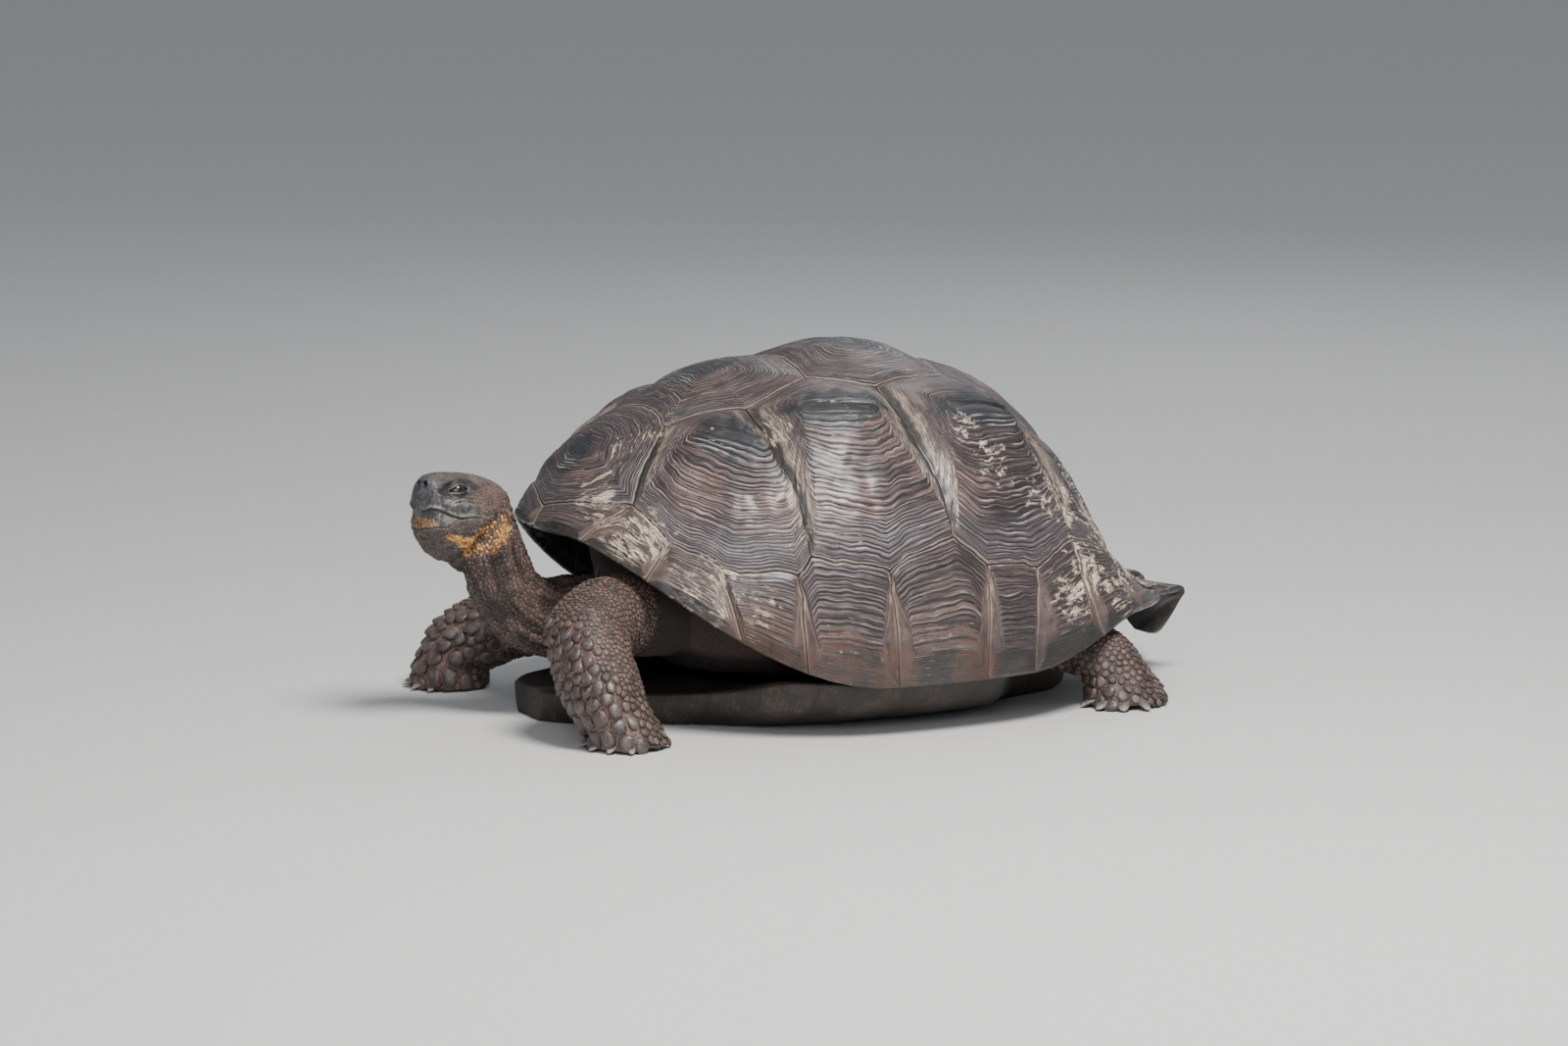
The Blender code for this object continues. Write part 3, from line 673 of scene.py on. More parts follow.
tone = horn.coats(tone, [
    (warm * 0.55, (0.235, 0.130, 0.098)),
    # Grey horn with a painted sky sheen.
    (slate_and_sheen * 0.60, (0.105, 0.090, 0.098)),
    (upright * horn.between(streak, 0.42, 0.60) * 0.55, (0.340, 0.245, 0.200)),
    # Worn crests with a painted highlight.
    (crest_wear_and_highlight * horn.between(worn, 0.44, 0.60) * 0.80, (0.500, 0.430, 0.440)),
    (margin * 0.40, (0.055, 0.043, 0.041)),
    (horn.between(level, 0.36, 0.50) * 0.38, (0.040, 0.029, 0.028)),
    (thread * 0.30, (0.040, 0.032, 0.032)),
    # Painted shade: near black in the grooves between the rings.
    (groove * 0.92, (0.010, 0.008, 0.008)),
    (fan * (1 - rim) * 0.90, fan_tone),
    (horn.between(rim + (blotch - 0.5) * 0.5, 0.40, 0.75) * 0.85, (0.030, 0.026, 0.026)),
    (horn.between(areola + (blotch - 0.5) * 0.7, 0.25, 0.70) * 0.95, areola_tone),
    (seam_line * (0.20 + flaky * 0.70), (0.480, 0.370, 0.280)),
    (shoulder * chips * 0.90, (0.620, 0.500, 0.370)),
    # Near black in the valley beside each upright seam: darker horn there, and painted shade in the valley.
    (channel * 0.92, (0.036, 0.031, 0.031)),
    ((1 - horn.between(seam, 0.0, 0.0007)) * 0.5 * (1 - rim), (0.018, 0.014, 0.013)),
    (lower_margin_darkening * 0.78, (0.026, 0.021, 0.021)),
    (crusted * 0.92, cream),
    (horn.between(soil + (blotch - 0.5) * 1.2, 0.62, 1.05) * 0.50, (0.120, 0.056, 0.040)),
    (horn.between(cracks, 0.64, 0.68) * 0.45, (0.020, 0.016, 0.015)),
    (under * 0.85, (0.024, 0.019, 0.017)),
])
polish = horn.between(broad, 0.42, 0.60)
horn_bump = horn.relief(1 - groove, 0.0016, 1.0)
horn_bump = horn.relief(hair * 0.6 + streak * 0.4, 0.0012, 0.6, horn_bump)
horn_bump = horn.relief(grain, 0.0002, 0.35, horn_bump)
horn_bump = horn.relief(crusted, 0.0006, 0.7, horn_bump)
horn.finish(
    Base_Color=tone,
    Roughness=0.41 - polish * 0.12 + crusted * 0.34 + (streak - 0.5) * 0.30 + groove * 0.25 + fan * 0.08
    + areola * 0.08,
    Normal=horn_bump,
    Specular_IOR_Level=0.5,
    Coat_Weight=polish * (1 - crusted) * (1 - horn.between(level, 0.40, 0.50) * 0.7) * 0.50,
    Coat_Roughness=0.24,
)


# The vertebrals: five plates along the back, the third at the top of the dome, grown to the bone
# under them and to each other along sunken seams.
vertebral_halves = (
    ("front", "front_side", "v1_c1_m", "v1_v2_c1", "v1_v2"),
    ("v1_v2", "v1_v2_c1", "v2_c1_bow", "v2_c1_c2", "v2_v3_c2", "v2_v3"),
    ("v2_v3", "v2_v3_c2", "v3_c2_c3", "v3_v4_c3", "v3_v4"),
    ("v3_v4", "v3_v4_c3", "v4_c3_c4", "v4_v5_c4", "v4_v5"),
    ("v4_v5", "v4_v5_c4", "v5_c4_m", "m11_sc", "rear"),
)
vertebral_areolas = (
    (0.0, 0.640, 0.012), (0.0, 0.270, 0.014), (180.0, 0.020, 0.020), (180.0, 0.270, 0.007),
    (180.0, 0.560, 0.003),
)
vertebrals = []
for number, (names, (degrees, share, hump)) in enumerate(zip(vertebral_halves, vertebral_areolas)):
    half = [disc(*junctions[name]) for name in names]
    corners = half + [corner * (-1, 1) for corner in reversed(half[1:-1])]
    sides, middle = ["top"] * len(corners), disc(degrees, share)
    vertebrals.append(plate(middle, corners, sides, hump, rings=25, level=0.15, seed=20 + number))
nodes = [f"vertebral_{number}" for number in range(1, 6)]
horn_piece("vertebral_plates", vertebrals, nodes, horn.material)

# The costals: four tall plates down each side, with the areola high on each. Their rings are wide
# below it, and fine and upright beside the neighbouring costals.
costal_outlines = (
    ("v1_c1_m", "v1_v2_c1", "v2_c1_bow", "v2_c1_c2", "c1_c2_m", "m4_m5", "m3_m4", "m2_m3"),
    ("v2_c1_c2", "v2_v3_c2", "v3_c2_c3", "c2_c3_m", "m5_m6", "c1_c2_m"),
    ("v3_c2_c3", "v3_v4_c3", "v4_c3_c4", "c3_c4_bow", "c3_c4_m", "m7_m8", "m6_m7", "c2_c3_m"),
    ("v4_c3_c4", "v4_v5_c4", "v5_c4_m", "m9_m10", "c3_c4_m", "c3_c4_bow"),
)
costal_areolas = ((46.0, 0.470, 0.018), (75.0, 0.350, 0.018), (125.0, 0.340, 0.017), (150.0, 0.500, 0.005))
upright_sides = (
    ("side", "top", "top", "side", "top", "top", "top", "top"),
    ("top", "top", "side", "top", "top", "side"),
    ("top", "top", "side", "side", "top", "top", "top", "side"),
    ("top", "top", "top", "top", "side", "side"),
)
for hand, first_seed in (("left", 40), ("right", 50)):
    plates = []
    for number, (names, sides) in enumerate(zip(costal_outlines, upright_sides)):
        degrees, share, hump = costal_areolas[number]
        corners, middle = [disc(*junctions[name]) for name in names], disc(degrees, share)
        if hand == "right":
            corners, sides = mirrored(corners, sides)
            middle = middle * (-1, 1)
        plates.append(plate(middle, corners, sides, hump, rings=30, level=0.30, seed=first_seed + number))
    nodes = [f"costal_{hand}_{number}" for number in range(1, 5)]
    horn_piece(f"costal_plates_{hand}", plates, nodes, horn.material)


# The marginals: eleven plates round each side of the rim, with the areola low on each, so that level
# ridges climb above it and fans of fine lines open downwards on both sides of every seam. The plate
# over the tail hangs below the two upturned rear corners.
marginal_hump, rim_step = 0.004, 4


def rim_line(start, end):
    steps = max(1, round(abs(end - start) / rim_step))
    return [disc(start + (end - start) * step / steps, 1.0) for step in range(steps + 1)]


def rim_sides(upper, lower):
    return ["top"] * (len(upper) - 1) + ["fan"] + ["rim"] * (len(lower) - 1) + ["fan"]


def low_middle(upper, lower):
    return 0.22 * np.mean(upper, 0) + 0.78 * np.mean(lower, 0)


upper = [disc(*junctions[name]) for name in ("m11_sc", "rear")]
lower = rim_line(360 - rim_seams[-1], rim_seams[-1])
middle = low_middle(upper, lower) * (0, 1)
upper.append(upper[0] * (-1, 1))
sides = rim_sides(upper, lower)
tail_plate = plate(middle, upper + lower, sides, marginal_hump, rings=14, level=0.50, seed=99)
horn_piece("supracaudal_plate", [tail_plate], ["supracaudal"], horn.material)
for hand, first_seed in (("left", 60), ("right", 80)):
    plates = []
    for number in range(1, len(rim_seams)):
        first, last = upper_edge.index(seam_tops[number - 1]), upper_edge.index(seam_tops[number])
        upper = [disc(*junctions[name]) for name in upper_edge[first:last + 1]]
        lower = rim_line(rim_seams[number], rim_seams[number - 1])
        corners, sides, middle = upper + lower, rim_sides(upper, lower), low_middle(upper, lower)
        if hand == "right":
            corners, sides = mirrored(corners, sides)
            middle = middle * (-1, 1)
        seed = first_seed + number
        plates.append(plate(middle, corners, sides, marginal_hump, rings=15, level=0.62, seed=seed))
    nodes = [f"marginal_{hand}_{number}" for number in range(1, 12)]
    horn_piece(f"marginal_plates_{hand}", plates, nodes, horn.material)


# The soft body: one hide over the trunk, neck, head, tail and legs, which are each shaped by rings
# along a bent middle line. It is loose and folded on the neck, under the jaw and behind the elbows.
head_turn = np.array(Matrix.Rotation(math.radians(19), 3, "Z") @ Matrix.Rotation(math.radians(-7), 3, "X"))
head_base = np.array((-0.005, -0.534, 0.365))


def from_head(points):
    """Head coordinates (left, back, up) turned into the animal's own."""
    return np.asarray(points) @ head_turn.T + head_base


def to_head(points):
    return (points - head_base) @ head_turn


def smoothed(rows, times):
    """Each row drawn towards its two neighbours, with the first and the last left where they are."""
    for _ in range(times):
        rows[1:-1] = (rows[:-2] + 2 * rows[1:-1] + rows[2:]) / 4
    return rows


tube_step = 0.004


class Tube:
    """Rings along a bent line. Stations are (middle, way forward, half-width, half-height)."""

    def __init__(self, name, stations, roundings=14, within_head=False):
        self.name = name
        middles = np.array([station[0] for station in stations], float)
        rest = np.array([(*station[1], *station[2:]) for station in stations], float)
        rest[:, :3] /= np.linalg.norm(rest[:, :3], axis=1, keepdims=True)
        reach = np.concatenate([[0], np.cumsum(np.linalg.norm(np.diff(middles, axis=0), axis=1))])
        steps = np.linspace(0, reach[-1], max(8, round(reach[-1] / tube_step)))
        rows = np.stack([np.interp(steps, reach, column) for column in np.hstack([middles, rest]).T], -1)
        rows = smoothed(rows, roundings)
        self.length = reach[-1]
        self.steps = steps
        self.middle, forward, self.widths, self.heights = rows[:, :3], rows[:, 3:6], rows[:, 6], rows[:, 7]
        forward = forward / np.linalg.norm(forward, axis=1, keepdims=True)
        rise = np.cross((-1.0, 0, 0), forward)
        rise /= np.linalg.norm(rise, axis=1, keepdims=True)
        side = np.cross(forward, rise)
        if within_head:
            self.middle = from_head(self.middle)
            forward, rise, side = forward @ head_turn.T, rise @ head_turn.T, side @ head_turn.T
        self.forward, self.rise, self.side = forward, rise, side

    def grid(self, count):
        """Points of its surface, row by row, each row going round in equal steps."""
        around = np.linspace(0, 2 * math.pi, count, endpoint=False)
        across = np.sign(np.cos(around)) * np.abs(np.cos(around)) ** 0.9
        lift = np.sign(np.sin(around)) * np.abs(np.sin(around)) ** 0.9
        return (
            self.middle[:, None]
            + self.side[:, None] * (self.widths[:, None] * across)[..., None]
            + self.rise[:, None] * (self.heights[:, None] * lift)[..., None]
        )

    def closed(self, count=64):
        """Points and faces of its surface with both ends closed."""
        grid = self.grid(count)
        points = np.concatenate([grid.reshape(-1, 3), self.middle[:1], self.middle[-1:]])
        return points, capped_faces(len(grid), count)


def limb(name, stations):
    """A leg from (x, y, z, half-width, half-depth), which points straight down below the ankle."""
    rows = []
    for index, (x, y, z, half_width, half_depth) in enumerate(stations):
        forward = (0, 0, -1.0)
        if z > 0.060:
            before = stations[max(index - 1, 0)]
            forward = [stations[index + 1][axis] - before[axis] for axis in range(3)]
        rows.append(((x, y, z), forward, half_width, half_depth))
    return Tube(name, rows, roundings=10)


left_foreleg = (
    (0.132, -0.274, 0.168, 0.060, 0.066), (0.160, -0.359, 0.184, 0.062, 0.068),
    (0.202, -0.422, 0.190, 0.066, 0.067), (0.242, -0.460, 0.172, 0.068, 0.066),
    (0.272, -0.462, 0.122, 0.066, 0.064), (0.290, -0.442, 0.060, 0.064, 0.063),
    (0.299, -0.418, 0.018, 0.068, 0.066), (0.300, -0.414, 0.0015, 0.064, 0.062),
)
right_foreleg = (
    (-0.150, -0.214, 0.138, 0.064, 0.062), (-0.185, -0.314, 0.130, 0.064, 0.064),
    (-0.235, -0.399, 0.112, 0.062, 0.062), (-0.275, -0.454, 0.084, 0.060, 0.062),
    (-0.298, -0.478, 0.045, 0.062, 0.062), (-0.304, -0.482, 0.015, 0.068, 0.066),
    (-0.304, -0.480, 0.0015, 0.064, 0.062),
)
left_hindleg = (
    (0.150, 0.236, 0.118, 0.060, 0.052), (0.200, 0.331, 0.112, 0.058, 0.052),
    (0.248, 0.406, 0.092, 0.055, 0.052), (0.282, 0.448, 0.056, 0.055, 0.056),
    (0.298, 0.460, 0.015, 0.060, 0.070), (0.300, 0.458, 0.0015, 0.056, 0.066),
)
# Along the head: (distance from the nape, level of the middle, lean in degrees, half-width, half-height).
head_stations = (
    (0.008, -0.034, 48, 0.050, 0.058), (0.030, -0.036, 28, 0.055, 0.069), (0.055, -0.040, 12, 0.054, 0.074),
    (0.080, -0.038, 5, 0.049, 0.072), (0.104, -0.032, 3, 0.042, 0.065), (0.123, -0.025, 2, 0.035, 0.055),
    (0.1345, -0.020, 0, 0.028, 0.044), (0.1395, -0.020, 0, 0.020, 0.033), (0.1418, -0.020, 0, 0.008, 0.014),
    (0.1420, -0.020, 0, 0.0005, 0.001),
)
head_rows = [
    ((0, -distance, level), (0, -math.cos(math.radians(lean)), math.sin(math.radians(lean))), width, height)
    for distance, level, lean, width, height in head_stations
]
nape = from_head((0, -0.014, -0.030))
neck_rows = (
    ((0.000, -0.244, 0.150), (0.0, -1.0, 0.00), 0.078, 0.072),
    ((0.000, -0.379, 0.150), (0.0, -1.0, 0.15), 0.078, 0.070),
    ((0.000, -0.462, 0.166), (0.0, -0.8, 0.60), 0.068, 0.064),
    ((0.000, -0.506, 0.212), (0.0, -0.45, 0.9), 0.060, 0.056),
    ((0.002, -0.524, 0.268), (0.0, -0.25, 1.0), 0.054, 0.052),
    (tuple(nape), tuple(head_turn @ (0, -0.669, 0.743)), 0.050, 0.057),
)
tail_rows = (
    ((0.0, 0.306, 0.120), (0.0, 1.0, -0.1), 0.060, 0.055),
    ((0.0, 0.426, 0.110), (0.0, 1.0, -0.2), 0.048, 0.044),
    ((0.004, 0.506, 0.088), (0.1, 0.9, -0.5), 0.034, 0.033),
    ((0.014, 0.551, 0.055), (0.3, 0.6, -0.8), 0.022, 0.022),
    ((0.026, 0.568, 0.026), (0.4, 0.4, -0.8), 0.012, 0.012),
    ((0.032, 0.571, 0.014), (0.4, 0.4, -0.8), 0.005, 0.005),
)
right_hindleg = [(-station[0], *station[1:]) for station in left_hindleg]
tubes = [
    Tube("head", head_rows, roundings=3, within_head=True),
    Tube("neck", neck_rows),
    Tube("tail", tail_rows, roundings=6),
    limb("foreleg_left", left_foreleg),
    limb("foreleg_right", right_foreleg),
    limb("hindleg_left", left_hindleg),
    limb("hindleg_right", right_hindleg),
]
head_part, neck_part, tail_part = 0, 1, 2
foreleg_parts, leg_parts = (3, 4), (3, 4, 5, 6)
tube_shapes = []
for tube in tubes:
    points, faces = tube.closed()
    tube_shapes.append(BVHTree.FromPolygons(points.tolist(), faces))
tube_samples = [tube.grid(40) for tube in tubes]
near_samples = KDTree(sum(grid.shape[0] * grid.shape[1] for grid in tube_samples))
sample_rows = []
for part, grid in enumerate(tube_samples):
    for row in range(grid.shape[0]):
        for point in grid[row].tolist():
            near_samples.insert(point, len(sample_rows))
            sample_rows.append((part, row))
near_samples.balance()
sample_rows = np.array(sample_rows)


def located(points):
    """For each point its part, its row on the part's tube, the angle round it and the distance off it."""
    found = [near_samples.find(point) for point in points.tolist()]
    index = np.array([hit[1] for hit in found])
    away = np.array([hit[2] for hit in found])
    part, row = sample_rows[index].T
    around = np.zeros(len(points))
    for number, tube in enumerate(tubes):
        here = part == number
        off = points[here] - tube.middle[row[here]]
        lift = (off * tube.rise[row[here]]).sum(-1) / np.maximum(tube.heights[row[here]], 1e-3)
        across = (off * tube.side[row[here]]).sum(-1) / np.maximum(tube.widths[row[here]], 1e-3)
        around[here] = np.arctan2(lift, across)
    return part, row, around, away


def points_of(mesh):
    flat = np.empty(len(mesh.vertices) * 3)
    mesh.vertices.foreach_get("co", flat)
    return flat.reshape(-1, 3)


def edges_of(mesh):
    flat = np.empty(len(mesh.edges) * 2, int)
    mesh.edges.foreach_get("vertices", flat)
    return flat.reshape(-1, 2)


def relaxed(points, edges, times, share):
    """Each point drawn towards the mean of its neighbours, and back out a little so that nothing shrinks."""
    ends = np.concatenate([edges[:, 0], edges[:, 1]])
    others = np.concatenate([edges[:, 1], edges[:, 0]])
    counts = np.bincount(ends, minlength=len(points))[:, None]
    back_out = -0.53
    for _ in range(times):
        for pull in (share, back_out * share):
            mean = np.stack([np.bincount(ends, points[others, axis], len(points)) for axis in range(3)], -1)
            points = points + (mean / counts - points) * pull
    return points


def refined(mesh, chosen):
    """The mesh with the faces cut in four whose corners are all chosen."""
    shaped = bmesh.new()
    shaped.from_mesh(mesh)
    faces = [face for face in shaped.faces if all(chosen[corner.index] for corner in face.verts)]
    edges = list({edge for face in faces for edge in face.edges})
    bmesh.ops.subdivide_edges(shaped, edges=edges, cuts=1, use_grid_fill=True)
    shaped.to_mesh(mesh)
    shaped.free()


def fitted(mesh, times, share):
    """The mesh relaxed, and its points laid on the tubes that they are near."""
    points = relaxed(points_of(mesh), edges_of(mesh), times, share)
    part, row, around, away = located(points)
    for index in np.nonzero(away < 0.008)[0].tolist():
        spot, _, _, distance = tube_shapes[part[index]].find_nearest(points[index])
        if distance < 0.006:
            points[index] = spot
    points = relaxed(points, edges_of(mesh), 1, 0.4)
    mesh.vertices.foreach_set("co", points.ravel())
    mesh.update()
    return part, row, around, away


# The face: a horny beak whose upper edge overhangs the lower one, nostrils close together above it,
# deep eyes between thick lids, a round eardrum behind the jaw, and loose scaly skin below.
eye_radius = 0.0175
eye_surface = np.array((0.0385, -0.0855, 0.0090))
eye_out = np.array((0.93, -0.22, 0.29))
eye_out /= np.linalg.norm(eye_out)
eye_back = np.array((0.0, 0.9945, 0.1045))
eye_back -= eye_out * (eye_back @ eye_out)
eye_back /= np.linalg.norm(eye_back)
eye_up = np.cross(eye_out, eye_back)
eye_middle = eye_surface - eye_out * (eye_radius - 0.0015)
lid_length, lid_up, lid_down, lid_power = 0.0190, 0.0082, 0.0062, 1.55


def eye_place(places):
    """Along, up and out from the middle of the eye on the same side of the head."""
    off = places * (np.where(places[:, :1] > 0, 1, -1) * (1, 0, 0) + (0, 1, 1)) - eye_middle
    return off @ eye_back, off @ eye_up, off @ eye_out


def lid_share(along, up):
    """1 along the edge of the lids, less between them and more outside."""
    height = np.where(up > 0, lid_up, lid_down)
    return (np.abs(along / lid_length) ** lid_power + np.abs(up / height) ** lid_power) ** (1 / lid_power)


def ball_height(along, up, over):
    return np.sqrt(np.maximum((eye_radius + over) ** 2 - along ** 2 - up ** 2, 0.0105 ** 2))


jaw_turns = (0, 6, 19, 29, 45, 66, 92, 115, 133)
mouth_levels = (-0.0345, -0.0325, -0.0285, -0.0245, -0.0259, -0.0320, -0.0372, -0.0335, -0.0365)
band_line = np.array((
    (0.100, -0.065), (0.084, -0.070), (0.069, -0.075), (0.055, -0.079), (0.041, -0.078), (0.027, -0.070),
    (0.013, -0.059), (0.000, -0.046), (-0.010, -0.030),
))


def line_distance(spots, line):
    """The distance from each spot to a bent line, and how far along it that is, from 0 to 1."""
    best, where = np.full(len(spots), 9.0), np.zeros(len(spots))
    for index in range(len(line) - 1):
        run = line[index + 1] - line[index]
        share = np.clip(((spots - line[index]) @ run) / (run @ run), 0, 1)
        away = np.linalg.norm(spots - line[index] - share[:, None] * run, axis=1)
        nearer = away < best
        best[nearer] = away[nearer]
        where[nearer] = (index + share[nearer]) / (len(line) - 1)
    return best, where


def face(places):
    """The regions of the head, as named shares from 0 to 1, at places in head coordinates."""
    across, ahead, level = np.abs(places[:, 0]), -places[:, 1], places[:, 2]
    turn = np.degrees(np.arctan2(across, ahead - 0.085))
    mouth = np.interp(turn, jaw_turns, mouth_levels)
    over = level - mouth
    top_edge = np.interp(turn, (0, 20, 45, 70, 97), (-0.007, -0.010, -0.014, -0.022, -0.036))
    low_edge = np.interp(turn, (0, 45, 66, 76, 88), (-0.060, -0.0535, -0.0525, -0.046, -0.0375))
    upper_beak = ease((top_edge - level) / 0.004 + 0.5) * (over > 0) * ease((97 - turn) / 8)
    lower_beak = ease((level - low_edge) / 0.002 + 0.5) * (over <= 0) * ease((88 - turn) / 4)
    along, up, out = eye_place(places)
    lid = lid_share(along, up)
    lid = np.where(out > 0, lid, 9.0)
    band, band_share = line_distance(np.stack([ahead, level], -1), band_line)
    width = np.interp(band_share, (0, 0.2, 0.4, 0.6, 0.8, 1.0), (0.0032, 0.0075, 0.016, 0.023, 0.019, 0.010))
    below = ease((low_edge - level) / 0.02) * ease((ahead + 0.02) / 0.05)
    chin = lower_beak * ease((-0.037 - level) / 0.006) * ease((52 - turn) / 22)
    ragged = 0.010 * drift(places, 0.014, 71) + 0.006 * drift(places, 0.005, 72)
    cheek = ease((0.006 - level + ragged) / 0.010) * ease((ahead - 0.046 + ragged) / 0.022) * (over > 0)
    lip = np.exp(-((over - 0.0045) / 0.0030) ** 2) * ease((turn - 18) / 12)
    snout = ease((np.interp(level, (-0.02, 0.02, 0.03), (48, 34, 10)) - turn) / 12) * (over > 0)
    nostril = np.hypot(across - 0.0080, level - 0.0135) + (ahead < 0.12) * 1.0
    ear = np.hypot((ahead - 0.0225) / 0.0050, (level + 0.0060) / 0.0115)
    return {
        "turn": turn, "over": over, "upper": upper_beak, "lower": lower_beak, "lid": lid, "out": out,
        "along": along, "up": up, "nostril": nostril, "ear": ear, "low_edge": low_edge,
        "horn": np.clip(upper_beak + lower_beak + 0.9 * snout + 0.62 * cheek, 0, 1), "snout": snout,
        "yellow": np.clip(ease(1.5 - band / width) + 0.50 * chin + 0.14 * below, 0, 1),
        "red": ease((0.068 - ahead) / 0.02) * ease((level + 0.030) / 0.02),
        # Dark skin and painted shade round the deep-set eyes, painted shade in the nostrils.
        "dark": np.clip(ease((2.65 - lid) / 0.8) + ease(2.0 - nostril / 0.0036), 0, 1),
        "pale": np.clip(
            ease(1.4 - np.hypot((ahead - 0.088) / 0.030, (level + 0.010) / 0.007)) * 0.8 * (1 - upper_beak)
            + 0.9 * lower_beak * ease((turn - 26) / 14) + 0.8 * lip, 0, 1,
        ),
    }


# The hide's surface: the tubes, a throat and the trunk melted into one mesh, relaxed and laid back on
# the tubes. It is cut finer on the legs, neck and head, again on the head and the upper neck, and once
# more round the eyes, the nostrils, the beak and the mouth.
voxel = 0.0102
throat_rows = (
    ((0, -0.064, -0.086), (0, 0.57, -0.82), 0.024, 0.010),
    ((0, -0.050, -0.104), (0, 0.57, -0.82), 0.030, 0.013),
    ((0, -0.034, -0.126), (0, 0.47, -0.88), 0.024, 0.012),
)
joined = bmesh.new()
for tube in tubes + [Tube("throat", throat_rows, roundings=3, within_head=True)]:
    points, faces = tube.closed()
    joined.from_mesh(mesh_of(tube.name, points, faces, {}))
joined.from_mesh(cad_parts["trunk"].data)
bmesh.ops.recalc_face_normals(joined, faces=joined.faces)
lump_mesh = bpy.data.meshes.new("lump")
joined.to_mesh(lump_mesh)
joined.free()
lump = bpy.data.objects.new("lump", lump_mesh)
bpy.context.scene.collection.objects.link(lump)
remesh = lump.modifiers.new("remesh", "REMESH")
remesh.mode = "VOXEL"
remesh.voxel_size = voxel
skin_mesh = bpy.data.meshes.new_from_object(lump.evaluated_get(bpy.context.evaluated_depsgraph_get()))
bpy.data.objects.remove(lump, do_unlink=True)
part, row, around, away = fitted(skin_mesh, times=6, share=0.6)
refined(skin_mesh, (away < 0.012) & (part != tail_part) & (points_of(skin_mesh)[:, 1] < 0.5))
part, row, around, away = fitted(skin_mesh, times=3, share=0.5)
neck_seen = (part == neck_part) & (row > 24)
refined(skin_mesh, (away < 0.008) & ((part == head_part) | neck_seen))
part, row, around, away = fitted(skin_mesh, times=2, share=0.5)
regions = face(to_head(points_of(skin_mesh)))
to_mouth = np.abs(regions["over"])
fine = (regions["lid"] < 2.6) & (regions["out"] > 0) | (to_mouth < 0.006) & (regions["turn"] < 130)
fine |= (regions["horn"] > 0.3) & (to_mouth < 0.030) | (regions["nostril"] < 0.009)
refined(skin_mesh, (away < 0.006) & (part == head_part) & fine)
part, row, around, away = fitted(skin_mesh, times=1, share=0.4)

# Where the hide changes colour: a yellow band under the jaw with streaks down the neck, a red cast on
# the neck's sides and the legs, horn on the beak, pale lips, dark skin and painted shade round the eyes,
# painted shade in the nostrils, shields down the front of the legs, and near black painted shade where
# the shell overhangs the skin.
leg_starts = tuple(zip(leg_parts, (0.075, 0.10, 0.085, 0.085)))


def markings(part, along, points, normals):
    """What the skin and the scales on it share: named shares of colour at each point."""
    marks = {name: np.zeros(len(points)) for name in ("yellow", "horn", "red", "dark", "pale", "shield")}
    on_head = part == head_part
    regions = face(to_head(points[on_head]))
    for name in ("yellow", "horn", "red", "dark", "pale"):
        marks[name][on_head] = regions[name]

    on_neck = part == neck_part
    ahead, outer = normals[:, 1], np.abs(normals[:, 0])
    streaky = ease(0.5 + 1.2 * drift(points * (1, 1, 0.3), 0.010, 41))
    marks["red"][on_neck] = (0.35 + 0.65 * ease((outer - 0.35) / 0.4))[on_neck]
    near_jaw = ease((along - (tubes[neck_part].length - 0.060)) / 0.05)
    throat = ease((0.30 - ahead - outer) / 0.6)
    streaks = near_jaw * streaky * 0.35 * ease((outer - 0.5) / 0.3) * (ahead < 0.5)
    near_head = face(to_head(points[on_neck]))["yellow"] * (0.45 + 0.55 * streaky[on_neck])
    marks["yellow"][on_neck] = np.maximum(streaks[on_neck], near_head) + (throat * 0.12)[on_neck]

    on_legs, fore = part > tail_part, np.isin(part, foreleg_parts)
    hind = on_legs & ~fore
    height = points[:, 2]
    front = normals @ np.array((0.0, -0.86, 0.10)) + 0.50 * outer
    facing = front - 0.50 + 0.26 * ease((0.135 - height) / 0.05) + 0.08 * drift(points, 0.03, 43)
    marks["shield"][fore] = (ease(facing / 0.35) * ease((0.215 - height) / 0.04))[fore]
    marks["shield"][hind] = (ease((front - 0.55) / 0.35) * ease((0.060 - height) / 0.03) * 0.8)[hind]
    marks["red"][on_legs] = 0.55 + 0.45 * ease((height[on_legs] - 0.05) / 0.1)
    # Painted shade: near black on the skin that the shell overhangs, and at the roots of the legs under it.
    marks["trunk"] = ease((away - 0.008) / 0.010)
    for number, start in leg_starts:
        marks["trunk"][(part == number) & (along < start + 0.012)] = 1.0
    return marks


# The hide's form: ribs and slack folds across the neck, buckled skin on the legs and tail, and on the
# head the closed mouth with its lips, the brow, pleated lids drawn over the eyeball, nostrils, the
# ear, grain in the horn and loose skin under the jaw.
def normals_of(mesh):
    flat = np.empty(len(mesh.vertices) * 3, np.float32)
    mesh.vertex_normals.foreach_get("vector", flat)
    return flat.reshape(-1, 3).astype(float)


def bump(off, width):
    """1 where off is 0, falling away over the width on both sides."""
    return np.exp(-(off / width) ** 2)


skin_points, skin_normals = points_of(skin_mesh), normals_of(skin_mesh)
along = np.zeros(len(skin_points))
for number, tube in enumerate(tubes):
    along[part == number] = tube.steps[row[part == number]]
on_head, on_neck, on_legs = part == head_part, part == neck_part, part > tail_part
near = ease((0.012 - away) / 0.008)
lift = np.full(len(skin_points), -0.0018) - 0.0012 * on_legs

